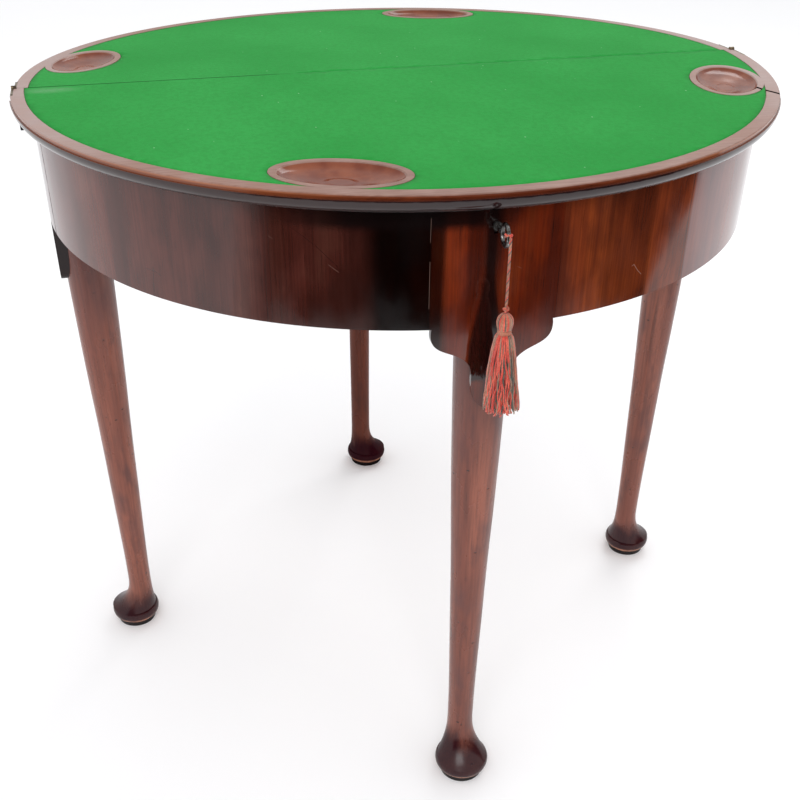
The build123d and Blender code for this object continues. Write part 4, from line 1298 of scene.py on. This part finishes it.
# The rim's colour: worn wood, partly painted sheen.
def rim_wear_and_sheen(x, wear, fibre):
    rim = blend(rise(wear, 0.3, 0.75), RIM_DEEP, RIM_PALE)
    rim = blend(rise(fibre, 0.62, 0.36, high=0.35), rim, RIM_FIBRE)
    # Painted sheen, paler grey towards both ends of the rim.
    rim_end_sheen = rise(calc("ABSOLUTE", x), 0.27, 0.40, high=0.6)
    return blend(rim_end_sheen, rim, RIM_END_SHEEN)


def top_finish(name, middle, up):
    finish, place = new_finish(name)
    x, y, z, level = around(place)
    fibre, figure, pores = grain_of(join(y, z, x))
    below = vector("DOT_PRODUCT", vector("SUBTRACT", place, middle), up)
    out = vector("LENGTH", level)
    wood = leaf_edge(leaf_wood(fibre, figure, pores), x, below, out)
    wear = cloud(place, (38, 38, 38), detail=4)
    # The rim's mask: worn polish, whose pale colour is partly painted sheen.
    worn_rim_and_sheen = times(rise(below, -1.6 * MM, -0.5 * MM), rise(wear, 0.2, 0.7, 0.72, 1.0))
    wood = blend(worn_rim_and_sheen, wood, rim_wear_and_sheen(x, wear, fibre))
    dished = times(rise(out, BED_FROM, BED_FULL), rise(below, -0.6 * MM, -1.6 * MM))
    dished = times(dished, rise(below, -11 * MM, -9.5 * MM))
    wood = blend(dished, wood, blend(rise(wear, 0.35, 0.7), BOWL_DEEP, BOWL_PALE))
    crack = near_line(level, [(a * MM, b * MM, 0) for a, b in CRACK])
    crack = rise(crack, CRACK_FROM, CRACK_FULL)
    wood = blend(crack, wood, CRACK_DARK)
    shine = blend(dished, blend(worn_rim_and_sheen, SHINE_EDGE, SHINE_RIM), SHINE_BOWL)
    waviness = less(cloud(place, (22, 22, 22), detail=1), crack)
    coat = less(1.0, times(calc("SUBTRACT", worn_rim_and_sheen, dished, clamp=True), 0.55))
    coat = times(coat, less(1.0, crack))
    coat = times(coat, rise(dished, 0, 1, 1.0, 0.65))
    return polished(finish, wood, fibre, pores, split(shine)[0], waviness, 0.25 * MM, coat)


OWN_FINISHES = {"fixed_leaf": top_finish("fixed_top_mahogany", fixed_middle, Vector((0, 0, 1))),
                "fold_leaf": top_finish("fold_top_mahogany", fold_middle, fold_up)}

# %% [markdown]
# ### Plain oak inside, and the blackened blocks
# The rails, the well's floor and the glue blocks are unpolished oak, dry and dusty. The small
# blocks at the ends of the fold line are stained black. One brown for all would hide how the
# table is made. The gate rail lies the other way round, so its grain is turned with it.

# %% Inner wood and blackened wood
OAK_DEEP, OAK_PALE = (0.175, 0.095, 0.046), (0.300, 0.185, 0.100)
OAK_FIBRE, OAK_PORE, DUST = (0.110, 0.056, 0.026), (0.050, 0.026, 0.014), (0.26, 0.21, 0.16)
BLACK_STAIN, CHIPPED = (0.010, 0.008, 0.008), (0.060, 0.030, 0.022)


def oak_finish(name, board):
    finish, place = new_finish(name)
    x, y, z = split(place)
    along = join(x, z, y) if board == "front to back" else join(y, z, x)
    fibre, figure, pores = grain_of(along)
    wood = blend(rise(figure, 0.3, 0.7), OAK_DEEP, OAK_PALE)
    wood = blend(rise(fibre, 0.62, 0.36, high=0.5), wood, OAK_FIBRE)
    wood = blend(times(pores, 0.7), wood, OAK_PORE)
    dust = cloud(place, (18, 18, 18), detail=5)
    wood = blend(rise(dust, 0.5, 0.8, high=0.5), wood, DUST)
    return look(finish, Base_Color=wood, Roughness=rise(dust, 0.3, 0.7, 0.7, 0.9),
                Specular_IOR_Level=0.3, Normal=relief(less(fibre, pores), 0.3 * MM))


def black_finish():
    finish, place = new_finish("blackened_wood")
    fibre = grain_of(place)[0]
    chips = cloud(place, (160, 160, 160), detail=4)
    wood = blend(rise(chips, 0.62, 0.72, high=0.6), BLACK_STAIN, CHIPPED)
    return look(finish, Base_Color=wood, Roughness=rise(chips, 0.3, 0.7, 0.3, 0.55), Coat_Weight=0.4,
                Coat_Roughness=0.25, Normal=relief(plus(fibre, chips), 0.25 * MM))


FINISHES["inner_wood"] = oak_finish("plain_oak", "side to side")
OWN_FINISHES["gate_rail"] = oak_finish("gate_oak", "front to back")
FINISHES["black_wood"] = black_finish()

# %% [markdown]
# ## Metal
# Hinges, screws and strike plate are brass gone brown, the lock is plain steel, and the key
# is dark with age and bright where fingers rub it. All three age in stains and rubbed spots,
# so one recipe serves them, and only its colours change.

# %% Metal finishes
STAIN_WIDTH = 0.22
# A row is a name, the clean, stained and bright colour, the roughness, and where stains start.
METALS = {
    "brass": ("old_brass", (0.20, 0.155, 0.10), (0.07, 0.05, 0.035), (0.36, 0.28, 0.17), (0.32, 0.6), 0.42),
    "steel": ("plain_steel", (0.33, 0.32, 0.30), (0.14, 0.10, 0.075), (0.48, 0.47, 0.45), (0.3, 0.55), 0.5),
    "dark_steel": ("key_steel", (0.15, 0.145, 0.14), (0.045, 0.038, 0.034), (0.62, 0.62, 0.63),
                   (0.18, 0.45), 0.5)}


def metal_finish(name, clean, stained, bright, rough, stain_start):
    finish, place = new_finish(name)
    stain = cloud(place, (190, 190, 190), detail=5, twist=0.4)
    fine = cloud(place, (1500, 300, 1500), detail=3)
    rub = cloud(place, (420, 420, 420), detail=3)
    colour = blend(rise(stain, stain_start, stain_start + STAIN_WIDTH), clean, stained)
    colour = blend(rise(rub, 0.58, 0.70, high=0.8), colour, bright)
    return look(finish, Base_Color=colour, Metallic=1.0, Roughness=rise(stain, 0.3, 0.7, *rough),
                Normal=relief(fine, 0.03 * MM, relief(stain, 0.12 * MM)))


for slot_name, metal in METALS.items():
    FINISHES[slot_name] = metal_finish(*metal)

# %% [markdown]
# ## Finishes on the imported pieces
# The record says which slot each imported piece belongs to. A list by hand could miss a piece,
# so that record is used, and only the two leaves and the gate rail have finishes of their own.

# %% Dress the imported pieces
dressed = 0
for entry in frame["record"]["subparts"]:
    node, slot_name = entry["node"], entry["material_slot"]
    finish = OWN_FINISHES.get(node) or FINISHES.get(slot_name)
    if finish:
        dressed += 1
        for slot in frame["nodes"][node].material_slots:
            slot.material = finish
print("dressed pieces", dressed, "finishes", len(bpy.data.materials))

# %% [markdown]
# ## End
# A lesson on looks must not change the size of the table.

# %% End
print("the finishes are laid")
